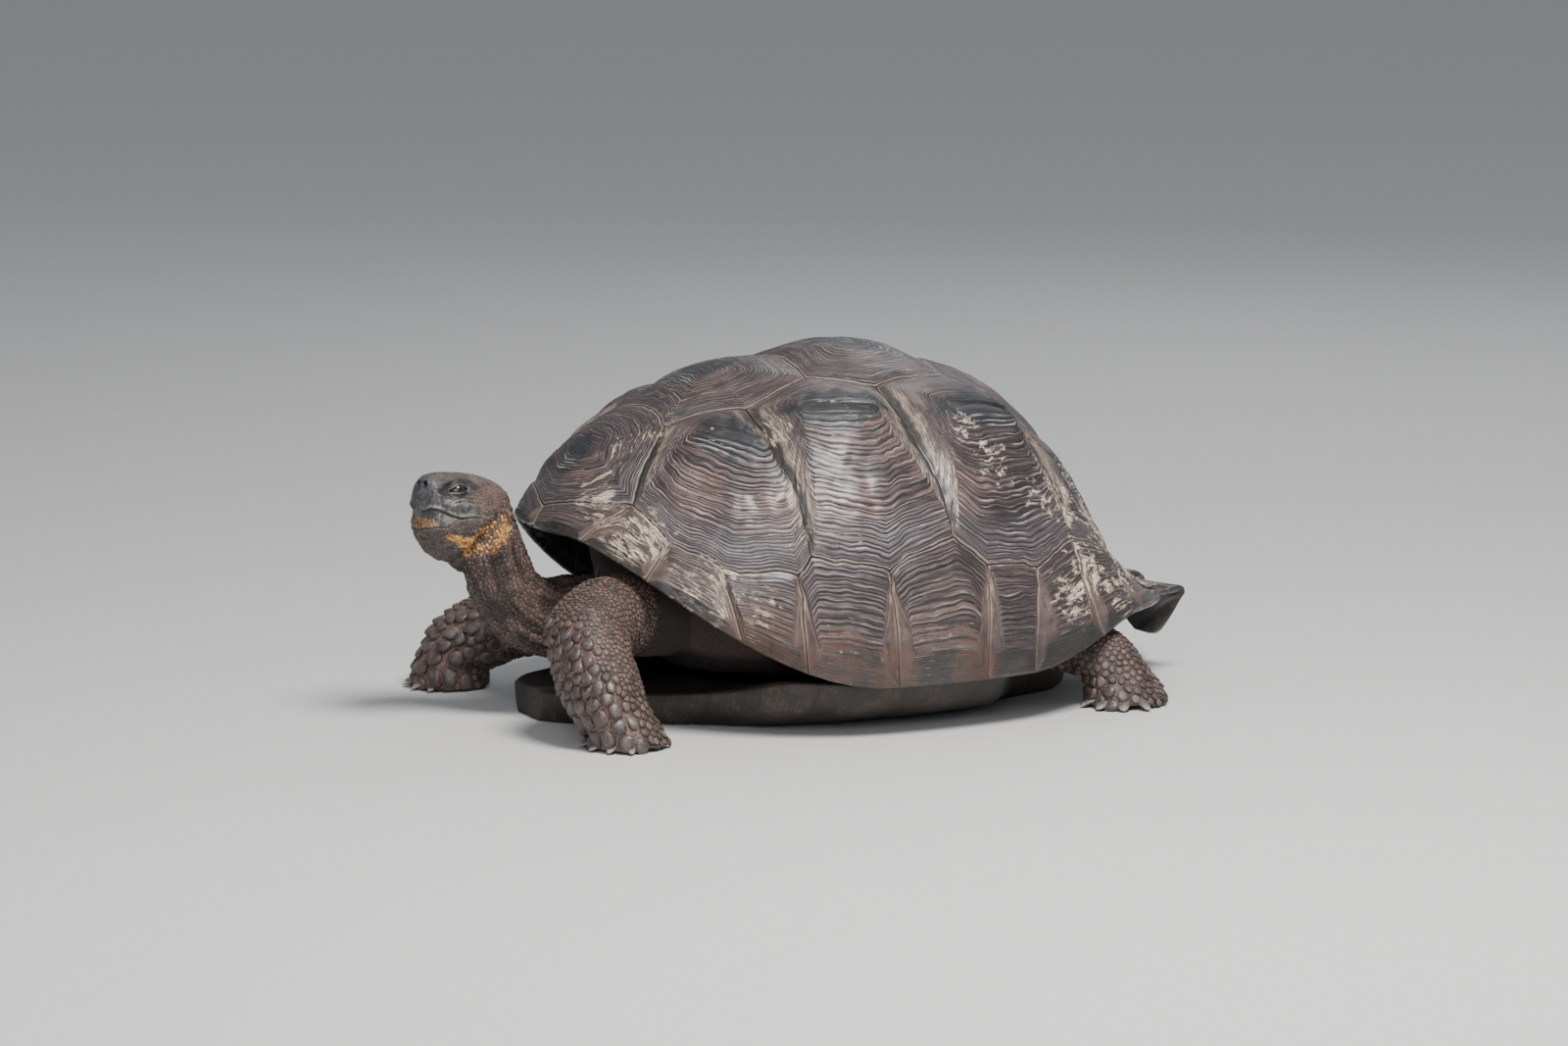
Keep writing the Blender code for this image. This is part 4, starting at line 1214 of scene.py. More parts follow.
wrap = np.stack([np.cos(around) * 3.8, np.sin(around) * 3.8, along / 0.060], -1)
rib = 1 - np.abs(drift(wrap, 1.0, 4)) * 1.8
finer = 1 - np.abs(drift(wrap * (1.9, 1.9, 1.5), 1.0, 9)) * 1.8
folds = np.clip(rib, -0.8, 1) * 0.0052 + np.clip(finer, -0.6, 1) * 0.0020 - 0.0034
slack = 0.0035 * np.sin((along / 0.030 + 2.0 * drift(skin_points, 0.05, 6)) * math.pi)
slack *= ease((0.14 - along) / 0.05)
lift += np.where(on_neck, folds + slack - 0.0010, 0) * near
# Painted shade for the colour: darker in the neck's folds.
fold_shading = np.where(on_neck, 2.3 * np.clip(0.45 - rib, 0, 1) + 0.5 * np.clip(0.3 - finer, 0, 1), 0)
buckle = drift(skin_points, 0.045, 12) * 0.0030 + drift(skin_points, 0.018, 13) * 0.0012
lift += np.where(on_legs | (part == tail_part), buckle, 0) * near - np.where(on_legs, 0.0012, 0)

places = to_head(skin_points[on_head])
shape = face(places)
over, turn, nostril = shape["over"], shape["turn"], shape["nostril"]
mouth_end = ease((130 - turn) / 12)
form = -0.0034 * bump(over, 0.0013) * mouth_end
form += 0.0016 * bump(over - 0.0035, 0.0030) * mouth_end * ease((105 - turn) / 30)
tuck = 0.0020 * ease(-over / 0.002) * ease((over + 0.028) / 0.016) * ease((100 - turn) / 30)
form -= tuck * (1 + 1.7 * ease((52 - turn) / 24))
under_beak = places[:, 2] - shape["low_edge"]
form -= 0.0020 * bump(under_beak, 0.0016) * ease((90 - turn) / 8) * (over < 0)
form += 0.0022 * bump(np.hypot((places[:, 1] + 0.045) / 0.022, (places[:, 2] + 0.018) / 0.024), 1)
eye_along, eye_height, beside_eye = np.abs(shape["along"]), shape["up"], shape["out"] > 0
form += 0.0046 * bump(eye_height - 0.0155, 0.0050) * ease((0.034 - eye_along) / 0.016) * beside_eye
for depth, level, bow, reach in ((0.0018, 0.0145, 12, 0.026), (0.0013, 0.0200, 9, 0.028)):
    pleat = bump(eye_height + level + bow * eye_along ** 2, 0.0014)
    form -= depth * pleat * ease((reach - eye_along) / 0.008) * beside_eye
form += -0.0110 * ease((0.0053 - nostril) / 0.0022) + 0.0010 * bump(nostril - 0.0060, 0.0014)
form -= 0.0012 * np.exp(-(shape["ear"] / 0.9) ** 4)
upright = drift(places * (1, 1, 0.25), 0.0035, 31)
form += (0.00040 * upright + 0.0006 * drift(places, 0.012, 33)) * shape["horn"]
wrinkle = 1 - np.abs(drift(places * (1, 0.5, 1.6), 0.0075, 34)) * 2
form += 0.0009 * wrinkle * (1 - shape["upper"]) * (1 - shape["lower"]) * (1 - shape["snout"])
loose = ease((shape["low_edge"] - 0.004 - places[:, 2]) / 0.012) * (over < 0)
flabby = 0.0016 * drift(places * (1, 0.45, 1), 0.008, 35) + 0.0010 * drift(places, 0.022, 36) - 0.0012
form += loose * flabby
jowl = ease((0.060 + places[:, 1]) / 0.02) * ease((-0.036 - places[:, 2]) / 0.010)
form += jowl * 0.0012 * np.sin(places[:, 1] * 700 + places[:, 2] * 500 + 3 * drift(places, 0.02, 37))
lift[on_head] += form
# Painted shade for the colour: in the line of the mouth, under the beak, in the wrinkles and under the jaw.
beak_fold_shading = 0.8 * bump(under_beak, 0.0018) * (turn < 88) * (over < 0)
fold_shading[on_head] = bump(over, 0.0022) * mouth_end + 0.5 * np.clip(0.1 - wrinkle, 0, 1) + beak_fold_shading
fold_shading[on_head] += loose * 0.3
sole = (skin_points[:, 2] < 0.012) & on_legs & (skin_normals[:, 2] < -0.4)
lift = np.where(sole, 0.0, lift)
new_points = skin_points + skin_normals * lift[:, None]

places = to_head(new_points[on_head])
along_eye, up_eye, out_eye = eye_place(places)
lid = lid_share(along_eye, up_eye)
lids_high = ball_height(along_eye, up_eye, 0.0016)
target = np.where(lid < 1.12, lids_high - 0.0065 * ease((1.12 - lid) / 0.14), lids_high)
mixed = target + (out_eye - target) * ease((lid - 1.15) / 1.1)
hand = np.where(places[:, 0] > 0, 1.0, -1.0)
push = (mixed - out_eye)[:, None] * eye_out * np.stack([hand, np.ones(len(hand)), np.ones(len(hand))], -1)
seen = (out_eye > 0.0) & (lid < 2.6)
places[seen] += push[seen]
new_points[on_head] = from_head(places)
new_points[:, 2] = np.maximum(new_points[:, 2], cad_low.z + 0.0003)
skin_mesh.vertices.foreach_set("co", new_points.ravel())
skin_mesh.update()
skin_points, skin_normals = new_points, normals_of(skin_mesh)


# The hide's finish: dry keratin skin, brown-grey with a reddish cast, yellow under the jaw, near black
# round the eyes with dark skin and painted shade, painted shade in the nostrils, in the folds and under
# the shell, and smooth grey horn on the beak and the shields of the legs.
hide = Finish("scaly hide")
spot = hide.place()
rise, tint = hide.mark("rise"), hide.mark("tint")
mottle = hide.cloud(spot, 55.0, 4.0, 0.6)
fleck = hide.cloud(spot, 330.0, 4.0, 0.65)
broad = hide.cloud(spot, 14.0, 3.0)
horn_grain = hide.cloud(hide.scaled(spot, (420.0, 420.0, 90.0)), 1.0, 3.0)
flake = hide.cloud(hide.scaled(spot, (230.0, 90.0, 260.0)), 1.0, 4.0)
tone = hide.ramp(tint * 0.32 + mottle * 0.30 + broad * 0.16 + fleck * 0.22, [
    (0.30, (0.020, 0.015, 0.014)), (0.45, (0.054, 0.041, 0.037)), (0.57, (0.102, 0.077, 0.069)),
    (0.72, (0.200, 0.158, 0.140)),
])
reddened = hide.mark("red") * hide.between(mottle + (tint - 0.5) * 0.22, 0.28, 0.68)
pale = hide.mark("pale")
paled = pale * hide.between(fleck * 0.6 + mottle * 0.4, 0.46, 0.62)
yellow = hide.mark("yellow")
gold = hide.ramp(flake * 0.6 + tint * 0.2 + fleck * 0.2, [
    (0.38, (0.120, 0.060, 0.028)), (0.47, (0.520, 0.220, 0.055)), (0.56, (0.800, 0.420, 0.120)),
    (0.68, (0.900, 0.620, 0.300)),
])
gilded = hide.between(yellow + (mottle - 0.5) * 0.5 + (flake - 0.5) * 1.1, 0.34, 0.60)
horn_mark = hide.mark("horn")
grained = hide.between(horn_grain * 0.6 + mottle * 0.4, 0.38, 0.66)
beak_tone = hide.blend(grained, (0.026, 0.025, 0.028), (0.105, 0.101, 0.104))
bleached = pale * hide.between(mottle * 0.5 + fleck * 0.5, 0.38, 0.60)
beak_tone = hide.blend(bleached * 0.75, beak_tone, (0.290, 0.262, 0.222))
streaks = hide.between(yellow, 0.12, 0.50) * hide.between(horn_grain * 0.6 + fleck * 0.4, 0.42, 0.60)
beak_tone = hide.blend(streaks * 0.75, beak_tone, (0.46, 0.24, 0.070))
shield = hide.mark("shield")
scoured = hide.between(mottle * 0.5 + fleck * 0.5, 0.38, 0.62)
shield_tone = hide.blend(scoured, (0.034, 0.029, 0.029), (0.110, 0.086, 0.080))
crevice = (1 - hide.between(rise, 0.10, 0.62)) * (1 - hide.between(horn_mark, 0.3, 0.6))
dusty = hide.between(shield, 0.3, 0.6) * hide.between(fleck, 0.40, 0.60)
crevice_tone = hide.blend(dusty, (0.040, 0.025, 0.020), (0.240, 0.145, 0.115))
dust = hide.between(fleck * 0.5 + mottle * 0.5, 0.54, 0.68) * hide.between(rise, 0.45, 0.9)
fold_shade_mark = hide.mark("crease")
lid_rim = hide.mark("rim")
rim_share = hide.between(fleck * 0.6 + mottle * 0.4, 0.42, 0.60)
rim_tone = hide.blend(rim_share, (0.030, 0.030, 0.032), (0.210, 0.208, 0.205))
tone = hide.coats(tone, [
    (reddened * 0.75, (0.145, 0.078, 0.064)),
    (paled * 0.7, (0.42, 0.36, 0.25)),
    (gilded * 0.95, gold),
    (hide.between(horn_mark, 0.35, 0.65), beak_tone),
    (hide.between(shield, 0.30, 0.65) * hide.between(rise, 0.35, 0.75) * 0.9, shield_tone),
    (crevice * 0.80, crevice_tone),
    (dust * (1 - shield * 0.6) * 0.35, (0.40, 0.30, 0.245)),
    # Painted shade in the folds.
    (hide.between(fold_shade_mark, 0.15, 0.95) * 0.85, (0.020, 0.015, 0.012)),
    # Painted shade under the shell.
    (hide.mark("trunk") * 0.8, (0.026, 0.021, 0.019)),
    # Dark skin and painted shade round the eyes, painted shade in the nostrils.
    (hide.mark("dark") * 0.93, (0.016, 0.015, 0.016)),
    (lid_rim * 0.9, rim_tone),
])
hide_bump = hide.relief(fleck, 0.0009, 0.55)
hide_bump = hide.relief(hide.cloud(spot, 1100.0, 2.0), 0.00025, 0.5, hide_bump)
smooth = hide.between(shield, 0.3, 0.7) * hide.between(rise, 0.4, 0.8)
hide.finish(
    Base_Color=tone,
    Roughness=0.55 - smooth * 0.24 - horn_mark * 0.23 + (fleck - 0.5) * 0.3 - lid_rim * 0.2
    + hide.mark("trunk") * 0.4,
    Normal=hide_bump,
)

skin_marks = markings(part, along, skin_points, skin_normals)
skin_marks["crease"] = fold_shading
skin_marks["rise"] = np.where(part == head_part, 0.42, 0.12)
skin_marks["tint"] = 0.5 + 0 * fold_shading
skin_marks["rim"] = 0 * fold_shading
keep_marks(skin_mesh, skin_marks)
skin_mesh.shade_smooth()
skin = piece_of("skin", skin_mesh, hide.material)
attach(skin, "root")
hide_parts("trunk", *[tube.name for tube in tubes])


# The scales: horny plates of many sizes set close on the hide, each a low dome with its far edge a
# little raised. They are beads on the face and neck, and broad dark shields down the front of the legs.
crowding, overlap = 7, 0.86


def scale_size(places, number, along, marks):
    """Half the distance between neighbouring scales at each place."""
    if number == head_part:
        local = to_head(places)
        regions = face(local)
        size = 0.0015 + 0.0005 * ease((0.075 + local[:, 1]) / 0.03)
        size += 0.0010 * ease((regions["low_edge"] - local[:, 2]) / 0.006) * (regions["over"] < 0)
        return size * (1 - 0.25 * marks["yellow"])
    if number == neck_part:
        size = 0.0029 + 0.0016 * drift(places, 0.03, 51) ** 2 + 0.0010 * ease((0.20 - along) / 0.1)
        return size * (1 - 0.40 * marks["yellow"])
    if number == tail_part:
        return np.full(len(places), 0.0052)
    base = 0.0036 + 0.0022 * ease((0.10 - places[:, 2]) / 0.04)
    return base + (0.0060 + 0.0012 * drift(places, 0.03, 55)) * marks["shield"]


def scattered(number, seed):
    """Well spaced points on one part of the skin: the skin point nearest to each, its place and size."""
    random = np.random.default_rng(seed)
    inside = wanted & (part == number)
    triangles = skin_triangles[inside[skin_triangles].all(1)]
    a, b, c = (skin_points[triangles[:, corner]] for corner in range(3))
    area = np.linalg.norm(np.cross(b - a, c - a), axis=1) / 2
    first = triangles[:, 0]
    size = scale_size(a, number, along[first], {name: values[first] for name, values in skin_marks.items()})
    weight = area / size ** 2
    count = int(crowding * weight.sum() / 3.4)
    picked = random.choice(len(triangles), count, p=weight / weight.sum())
    share = random.random((count, 2))
    share = np.where(share.sum(1, keepdims=True) > 1, 1 - share, share)
    spots = a[picked] + (b - a)[picked] * share[:, :1] + (c - a)[picked] * share[:, 1:]
    nearest = np.argmax(np.stack([1 - share.sum(1), share[:, 0], share[:, 1]], -1), 1)
    corner = triangles[picked, nearest]
    size = size[picked] * random.uniform(0.85, 1.15, count)
    order = np.argsort(-size + random.random(count) * 0.002)
    kept = np.zeros((count, 3))
    kept_size = np.zeros(count)
    index, total = [], 0
    for candidate in order.tolist():
        spot, radius = spots[candidate], size[candidate]
        off = kept[:total] - spot
        if ((off * off).sum(1) < ((kept_size[:total] + radius) * overlap) ** 2).any():
            continue
        kept[total], kept_size[total] = spot, radius
        index.append(candidate)
        total += 1
    return corner[index], kept[:total], kept_size[:total]


def cell_reach(spots, size, normal, side, lie, angle):
    """How far each scale reaches at each angle before it meets its neighbours' cells."""
    tree = KDTree(len(spots))
    for index, spot in enumerate(spots.tolist()):
        tree.insert(spot, index)
    tree.balance()
    neighbours = np.array([[hit[1] for hit in tree.find_n(spot, 13)][1:] for spot in spots.tolist()])
    off = spots[neighbours] - spots[:, None]
    across, ahead = (off * side[:, None]).sum(-1), (off * lie[:, None]).sum(-1)
    distance = np.maximum(np.hypot(across, ahead), 1e-5)
    facing = (normal[neighbours] * normal[:, None]).sum(-1) > 0.2
    plane = (distance ** 2 + size[:, None] ** 2 - size[neighbours] ** 2) / (2 * distance)
    cosine = across[..., None] * np.sin(angle)[:, None] + ahead[..., None] * np.cos(angle)[:, None]
    cosine /= distance[..., None]
    met = facing[..., None] & (cosine > 0.05)
    limit = np.where(met, plane[..., None] / np.maximum(cosine, 0.05), 9.0)
    own = np.broadcast_to(size[:, None, None] * 1.45, (len(spots), 1, angle.shape[1]))
    limit = np.concatenate([limit, own], 1)
    return (np.maximum(limit, 1e-4) ** -9.0).sum(1) ** (-1 / 9.0)


def coat_piece(number, seed, heights, tilt, corners=10, gap=0.90):
    """The scales of one part, as one mesh of separate domes of four rings and a top each."""
    tube = tubes[number]
    random = np.random.default_rng(seed + 100)
    root, spots, size = scattered(number, seed)
    count = len(root)
    normal = skin_normals[root]
    normal /= np.linalg.norm(normal, axis=1, keepdims=True)
    lie = tube.forward[row[root]]
    if number == head_part:
        lie = np.array((0, 0, -0.4)) - lie
    lie = lie - normal * (lie * normal).sum(1, keepdims=True)
    lie /= np.maximum(np.linalg.norm(lie, axis=1, keepdims=True), 1e-6)
    side = np.cross(normal, lie)
    angle = np.linspace(0, 2 * math.pi, corners, endpoint=False)[None] + random.uniform(0, 1, (count, 1))
    sine, cosine = np.sin(angle), np.cos(angle)
    reach = cell_reach(spots, size, normal, side, lie, angle) * gap
    reach = np.minimum(reach, size[:, None] * 1.6)
    height = heights(size, root)
    shielded = skin_marks["shield"][root][:, None] * ease((spots[:, 2:] - 0.05) / 0.05)
    reach = reach * (1 + 0.34 * shielded * np.clip(cosine, 0, 1) ** 2)
    flaked = ease(skin_marks["yellow"][root] / 0.5)[:, None]
    if number == neck_part:
        flaked = np.maximum(flaked, 0.5)
    reach = reach * (1 + flaked * (0.55 * cosine ** 2 - 0.28))
    lean = tilt + 0.20 * shielded + 0.22 * flaked
    flatness = random.uniform(0.8, 1.25, count)
    rings = []
    for share, level in ((1.02, -0.35), (0.98, 0.35), (0.80, 0.86), (0.42, 1.0)):
        rim = reach * share
        up = (height * level * flatness)[:, None] + lean * rim * cosine * max(level, 0.0)
        rings.append(
            spots[:, None]
            + side[:, None] * (rim * sine)[..., None]
            + lie[:, None] * (rim * cosine + 0.10 * tilt * size[:, None])[..., None]
            + normal[:, None] * up[..., None]
        )
    top = spots + normal * (height * flatness * 1.03)[:, None] + lie * (0.10 * tilt * size)[:, None]
    points = np.concatenate([np.stack(rings, 1).reshape(count, -1, 3), top[:, None]], 1)
    points[..., 2] = np.maximum(points[..., 2], cad_low.z + 0.0004)
    block = points.shape[1]
    last = (len(rings) - 1) * corners
    pattern = [list(reversed(range(corners)))] + ring_faces(len(rings), corners)
    pattern += fan_faces(last + corners, last, corners)
    faces = [face for index in range(count) for face in shifted(pattern, index * block)]

    shared = [name for name in skin_marks if name not in ("rise", "tint", "crease")]
    marks = {name: np.repeat(skin_marks[name][root], block) for name in shared}
    # The scales in the folds take the painted shade as well.
    marks["crease"] = np.repeat(np.clip(skin_marks["crease"][root] * 0.9, 0, 0.8), block)
    spread = 0.35 if number == head_part else 0.8
    marks["tint"] = np.repeat(0.5 + spread * (random.random(count) - 0.5), block)
    marks["rise"] = np.tile(np.repeat([0.0, 0.30, 0.82, 1.0, 1.0], [corners] * 4 + [1]), count)
    mesh = mesh_of("scales_" + tube.name, points.reshape(-1, 3), faces, marks)
    lay = mesh.uv_layers.new(name="OFBake")
    turned = (around[root] / (2 * math.pi)) % 1.0
    place = np.stack([turned, np.clip(along[root] / tube.length, 0, 1)], -1) * 0.994 + 0.003
    patch = np.concatenate([np.stack([sine, cosine], -1) * share for share in (1.0, 0.85, 0.6, 0.3)], 1)
    patch = np.concatenate([patch, np.zeros((count, 1, 2))], 1) * 0.0015 + place[:, None]
    corner_of = np.empty(len(mesh.loops), int)
    mesh.loops.foreach_get("vertex_index", corner_of)
    lay.data.foreach_set("uv", patch.reshape(-1, 2)[corner_of].ravel())
    piece = piece_of(mesh.name, mesh, hide.material)
    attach(piece, "root")


# Scales are wanted where the shell doesn't hide the skin, but not on the soles and not on the beak, the
# lids, the nostrils, the ears and the line of the mouth.
skin_mesh.calc_loop_triangles()
flat = np.empty(len(skin_mesh.loop_triangles) * 3, int)
skin_mesh.loop_triangles.foreach_get("vertices", flat)
skin_triangles = flat.reshape(-1, 3)
wanted = away < 0.016
wanted &= ~((part == neck_part) & (along < 0.11))
wanted &= ~((part == tail_part) & (along < 0.10))
wanted &= ~((part > tail_part) & (away > 0.009))
for number, start in leg_starts:
    wanted &= ~((part == number) & (along < start))
wanted &= ~((part > tail_part) & (skin_points[:, 2] < 0.009))
regions = face(to_head(skin_points))
bare = (regions["horn"] > 0.45) | (regions["lid"] < 1.9) | (regions["nostril"] < 0.0060)
bare |= (regions["ear"] < 1.0) | (np.abs(regions["over"]) < 0.0022) & (regions["turn"] < 128)
wanted &= ~((part == head_part) & bare)


def head_heights(size, root):
    return size * 0.20


def bead_heights(size, root):
    return size * 0.25


def leg_heights(size, root):
    return size * (0.34 + 0.16 * skin_marks["shield"][root])


coat_piece(head_part, 101, head_heights, tilt=0.10, corners=7, gap=0.97)
coat_piece(neck_part, 102, bead_heights, tilt=0.16, corners=8, gap=0.95)
coat_piece(tail_part, 103, bead_heights, tilt=0.12)
for number in leg_parts:
    coat_piece(number, 100 + number, leg_heights, tilt=0.22)


# The eyes: a dark ball with a barely paler iris under a wet cornea, held by thick grey lids whose
# smooth rims close on it in an almond.
ball_rings, ball_sides, lid_steps = 20, 40, 96
cornea_swell, pupil_radius, iris_radius = 0.0006, 0.0024, 0.0062
wet = Finish("wet eye")
from_middle = wet.mark("pupil")
fibres = wet.cloud(wet.place(), 900.0, 2.0)
iris = wet.blend(fibres, (0.010, 0.007, 0.005), (0.034, 0.022, 0.014))
iris = wet.blend(wet.between(from_middle, pupil_radius, 0.0030), (0.002, 0.002, 0.002), iris)
iris = wet.blend(wet.between(from_middle, iris_radius, 0.0074), iris, (0.012, 0.010, 0.010))
wet.finish(
    Base_Color=iris, Roughness=0.16 + fibres * 0.05, Specular_IOR_Level=0.35, Coat_Weight=0.4,
    Coat_Roughness=0.04,
)
lid_rows = (
    (-0.0012, -0.0035, 0.0), (-0.0013, -0.0008, 0.2), (-0.0009, 0.0006, 0.8), (-0.0002, 0.0013, 1.0),
    (0.0007, 0.0013, 0.8), (0.0014, 0.0005, 0.2), (0.0019, -0.0008, 0.0), (0.0028, -0.0006, 0.0),
    (0.0040, 0.0006, 0.0), (0.0054, 0.0000, 0.0), (0.0064, -0.0020, 0.0), (0.0050, -0.0060, 0.0),
)


def eyeball():
    """The left eyeball's points, faces and marks. The cornea swells a little over the iris."""
    turns = np.linspace(0, 2 * math.pi, ball_sides, endpoint=False)
    circle = np.cos(turns)[:, None] * eye_back + np.sin(turns)[:, None] * eye_up
    points, pupil = [], []
    for step in range(1, ball_rings):
        polar = math.pi * (step / ball_rings) ** 1.25
        off_axis = eye_radius * math.sin(polar)
        radius = eye_radius + cornea_swell * ease((0.0085 - off_axis) / 0.004) * (polar < 1.5)
        points.append(eye_middle + eye_out * radius * math.cos(polar) + radius * math.sin(polar) * circle)
        pupil.append(np.full(ball_sides, radius * math.sin(polar) if polar < 1.57 else 0.03))
    front = eye_middle + eye_out * (eye_radius + cornea_swell)
    behind = eye_middle - eye_out * eye_radius
    points = np.concatenate(points + [front[None], behind[None]])
    return points, capped_faces(ball_rings - 1, ball_sides), {"pupil": np.concatenate(pupil + [[0.0, 0.03]])}


def eyelids():
    """The left eyelids' points, faces and marks, row by row: step outwards, lift and share of the rim."""
    turns = np.linspace(0, 2 * math.pi, lid_steps, endpoint=False)
    along_lid = np.sign(np.cos(turns)) * np.abs(np.cos(turns)) ** (2 / lid_power)
    up_lid = np.sign(np.sin(turns)) * np.abs(np.sin(turns)) ** (2 / lid_power)
    height = np.where(up_lid > 0, lid_up, lid_down)
    edge = np.stack([along_lid * lid_length, up_lid * height], -1)
    outward = np.stack([along_lid / lid_length, up_lid / height], -1)
    outward = softened(outward / np.linalg.norm(outward, axis=1, keepdims=True), 3)
    uneven = 1 + 0.30 * np.sin(3 * turns + 1.1) + 0.22 * np.sin(7 * turns) + 0.15 * np.sin(16 * turns + 2)
    points = []
    for off, lift, _ in lid_rows:
        spot = edge + outward * (off * uneven)[:, None]
        high = ball_height(spot[:, 0], spot[:, 1], 0.0004) + lift
        points.append(eye_middle + eye_back * spot[:, :1] + eye_up * spot[:, 1:] + eye_out * high[:, None])
    rim = np.repeat([share for _, _, share in lid_rows], lid_steps)
    # The lids' outer rows take the dark skin and painted shade round the eye.
    marks = {"rim": rim, "dark": (1 - rim) * 0.9, "rise": 0.7 + 0 * rim, "tint": 0.5 + 0 * rim}
    marks.update({name: 0 * rim for name in ("yellow", "horn", "red", "pale", "shield", "crease", "trunk")})
    return np.concatenate(points), ring_faces(len(lid_rows), lid_steps, looped=True), marks


for hand, sign in (("left", 1.0), ("right", -1.0)):
    flip = np.array((sign, 1.0, 1.0))
    points, faces, marks = eyeball()
    mesh = mesh_of("eyeball_" + hand, from_head(points * flip), faces, marks)
    turn_outwards(mesh)
    ball = piece_of(mesh.name, mesh, wet.material)
    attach(ball, "root")
    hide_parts("eye_" + hand)
    points, faces, marks = eyelids()
    mesh = mesh_of("eyelids_" + hand, from_head(points * flip), faces, marks)
    turn_outwards(mesh)
    lids = piece_of(mesh.name, mesh, hide.material)
    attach(lids, "root")


# The claws: blunt horn nails worn flat by walking, five on each forefoot and four on each hind foot,
# set in the front edge of the sole, and turned outwards on the hind feet.
claw_horn = Finish("claw horn")
spot = claw_horn.place()
tip = claw_horn.mark("tip")
lengthwise = claw_horn.mark("around")
unrolled = claw_horn.put("ShaderNodeCombineXYZ", {}, {
    "X": lengthwise * 14.0, "Y": tip * 1.6, "Z": claw_horn.mark("number"),
})
stripe = claw_horn.cloud(unrolled, 1.0, 3.0, 0.5)
scuff = claw_horn.cloud(spot, 260.0, 4.0, 0.7)
tone = claw_horn.ramp(stripe * 0.7 + scuff * 0.3, [
    (0.32, (0.045, 0.038, 0.034)), (0.52, (0.115, 0.100, 0.090)), (0.70, (0.250, 0.220, 0.190)),
])
worn_tip = claw_horn.between(tip + (scuff - 0.5) * 0.4, 0.62, 0.95)
tone = claw_horn.coats(tone, [
    (worn_tip * 0.7, (0.36, 0.31, 0.25)),
    ((1 - claw_horn.between(tip, 0.12, 0.30)) * 0.8, (0.050, 0.032, 0.025)),
])
claw_horn.finish(
    Base_Color=tone, Roughness=0.40 + (scuff - 0.5) * 0.4,
    Normal=claw_horn.relief(scuff, 0.0003, 0.6, claw_horn.relief(stripe, 0.0008, 0.6)),
)
claw_rings, claw_sides, claw_difference = 12, 16, 3.1
claw_turns = np.linspace(0, 2 * math.pi, claw_sides, endpoint=False)
claw_sets = (
    ("foreleg_left", (0.300, -0.414), (0.062, 0.060), 18, (-56, -29, -2, 25, 52), 0.0098),
    ("foreleg_right", (-0.304, -0.480), (0.062, 0.060), -14, (-52, -25, 2, 29, 56), 0.0098),
    ("hindleg_left", (0.300, 0.458), (0.054, 0.063), 46, (-48, -16, 16, 46), 0.0112),
    ("hindleg_right", (-0.300, 0.458), (0.054, 0.063), -46, (-46, -16, 16, 48), 0.0112),
)


def claw(edge, heading, size):
    """One claw's points, ring by ring from its root to its tip, with the share of the way of each ring."""
    out = np.array((math.sin(heading), -math.cos(heading), 0.0))
    side = np.array((math.cos(heading), math.sin(heading), 0.0))
    turns = claw_turns[:, None]
    shares = np.arange(claw_rings) / (claw_rings - 1)
    rings = []
    for share in shares.tolist():
        width = size * math.sqrt(max(1 - share ** 2.6, 0.0)) * (1 - 0.18 * share) + 0.0006
        thick = size * 0.78 * (1 - share) ** 0.75 + 0.0006
        level = 0.0135 - 0.0095 * share ** 1.3
        up = np.sin(turns) * thick * np.where(np.sin(turns) > 0, 1.0, 0.75)
        middle_line = edge + out * (-0.012 + 0.032 * share)
        rings.append(middle_line + side * (np.cos(turns) * width) + (level + up) * (0, 0, 1))
    points = np.concatenate(rings)
    points[:, 2] = np.maximum(points[:, 2], cad_low.z + 0.0004)
    return points, np.repeat(shares, claw_sides)


last = (claw_rings - 1) * claw_sides
pattern = ring_faces(claw_rings, claw_sides) + [list(range(claw_sides))[::-1]]
pattern.append(list(range(last, last + claw_sides)))
for name, middle, halves, out_turn, spread, half_width in claw_sets:
    random = np.random.default_rng(len(name) * 7 + len(spread))
    points, faces, marks = [], [], {"tip": [], "around": [], "number": []}
    for number, angle in enumerate(spread):
        heading = math.radians(out_turn + angle)
        size = half_width * random.uniform(0.9, 1.12) * (0.86 if number in (0, len(spread) - 1) else 1.0)
        edge = (middle[0] + math.sin(heading) * halves[0], middle[1] - math.cos(heading) * halves[1], 0.0)
        claw_points, shares = claw(np.array(edge), heading, size)
        faces += shifted(pattern, number * len(claw_points))
        points.append(claw_points)
        marks["tip"].append(shares)
        marks["around"].append(np.tile(claw_turns / math.pi, claw_rings))
        marks["number"].append(np.full(len(shares), number * claw_difference))
    marks = {mark: np.concatenate(values) for mark, values in marks.items()}
    mesh = mesh_of("claws_" + name, np.concatenate(points), faces, marks)
    turn_outwards(mesh)
    claws = piece_of(mesh.name, mesh, claw_horn.material)
    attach(claws, "root")


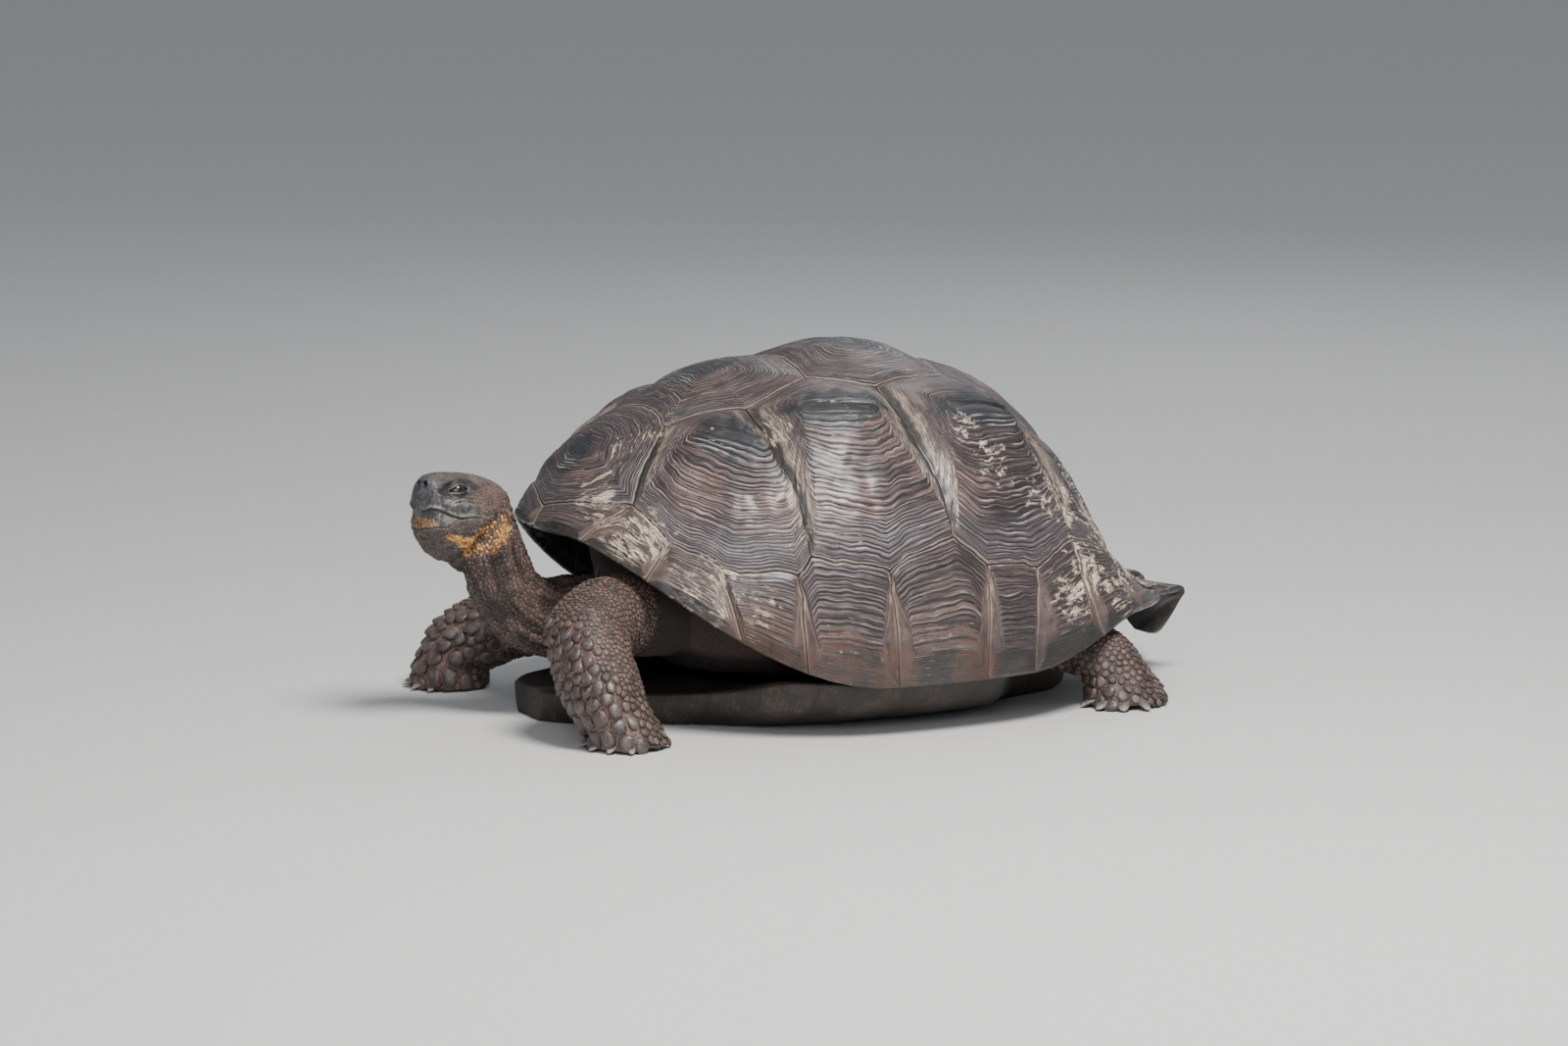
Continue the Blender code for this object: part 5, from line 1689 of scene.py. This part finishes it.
# The plastron: the belly's bone under dark horn, flat on the floor, worn smooth below, with a seam down
# its middle and six across it, and bridges that rise towards the shell on both sides.
# Along the belly: (place from front to rear, half-width of the flat, half-width above it, height).
plastron_rows = np.array((
    (-0.464, 0.045, 0.060, 0.046), (-0.434, 0.085, 0.105, 0.048), (-0.324, 0.135, 0.165, 0.050),
    (-0.229, 0.190, 0.255, 0.062), (-0.164, 0.235, 0.355, 0.090), (-0.054, 0.255, 0.398, 0.086),
    (0.086, 0.255, 0.400, 0.084), (0.206, 0.235, 0.378, 0.082), (0.286, 0.180, 0.240, 0.060),
    (0.406, 0.135, 0.160, 0.050), (0.456, 0.070, 0.085, 0.046),
))
plastron_top, cross_seams = 0.050, (-0.385, -0.262, -0.140, 0.050, 0.215, 0.345)
lengthways = np.linspace(plastron_rows[0, 0], plastron_rows[-1, 0], 200)
profile = [np.interp(lengthways, plastron_rows[:, 0], column) for column in plastron_rows[:, 1:].T]
flat, upper, height = smoothed(np.stack(profile, -1), 12).T
share_of = np.concatenate([np.linspace(0, 2, 30), np.linspace(2, 5, 20)[1:], np.linspace(5, 7, 12)[1:]])
zero = 0 * flat
top = plastron_top + zero
outline_x = np.stack([zero, flat * 0.6, flat, upper * 0.90, upper, upper * 0.93, upper * 0.7, zero], 1)
outline_z = np.stack([zero, zero, zero, height * 0.36, height, height + 0.003, top, top], 1)


def half_outline(lines):
    return smoothed(np.stack([np.interp(share_of, np.arange(8), line) for line in lines]).T, 2).T


half_x, half_z = half_outline(outline_x), half_outline(outline_z)
wide = np.concatenate([half_x, -half_x[:, -2:0:-1]], 1)
high = np.concatenate([half_z, half_z[:, -2:0:-1]], 1)
grid = np.stack([wide, lengthways[:, None] + 0 * wide, high], -1)
plan = grid[..., :2]
bent = grid[..., 1] + 0.006 * drift(plan, 0.09, 61)
bent = bent + 0.10 * np.abs(grid[..., 0]) ** 1.5 * np.sign(grid[..., 1])
middle_seam = np.abs(grid[..., 0] + 0.002 * drift(plan, 0.05, 62))
seam = np.min([np.abs(bent - place) for place in cross_seams] + [middle_seam], 0)
shrink = 0.0012 * np.exp(-(seam / 0.004) ** 2) + 0.0004 + 0.0005 * drift(grid, 0.03, 63)
inward = np.stack([0 * wide, grid[..., 1], 0.030 + 0 * wide], -1) - grid
inward /= np.linalg.norm(inward, axis=-1, keepdims=True)
grid = grid + inward * shrink[..., None]
grid[..., 2] = np.maximum(grid[..., 2], cad_low.z)
end_level = 0.024
ends = [[0, lengthways[0], end_level], [0, lengthways[-1], end_level]]
points = np.concatenate([grid.reshape(-1, 3), ends])
marks = {"seam": np.concatenate([seam.ravel(), [0.1, 0.1]])}
plastron_mesh = mesh_of("plastron_horn", points, capped_faces(*grid.shape[:2]), marks)
turn_outwards(plastron_mesh)
belly = Finish("belly horn")
spot, seam_mark = belly.place(), belly.mark("seam")
worn, rub = belly.cloud(spot, 9.0, 4.0, 0.6), belly.cloud(spot, 170.0, 4.0, 0.7)
lines = belly.put("ShaderNodeMath", {"operation": "SINE"}, {0: seam_mark * 900.0 + worn * 9.0})
tone = belly.ramp(worn * 0.6 + rub * 0.3 + lines * 0.02, [
    (0.36, (0.012, 0.009, 0.008)), (0.50, (0.032, 0.024, 0.020)), (0.64, (0.085, 0.062, 0.048)),
])
tone = belly.coats(tone, [
    ((1 - belly.between(seam_mark, 0.001, 0.005)) * 0.85, (0.015, 0.011, 0.009)),
    (belly.between(rub * 0.5 + worn * 0.5, 0.55, 0.68) * 0.5, (0.110, 0.064, 0.047)),
])
belly.finish(
    Base_Color=tone, Roughness=0.58 + (rub - 0.5) * 0.4,
    Normal=belly.relief(rub, 0.0004, 0.6, belly.relief(lines, 0.0004, 0.4)),
)
plastron = piece_of("plastron_horn", plastron_mesh, belly.material)
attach(plastron, "root")
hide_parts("plastron")
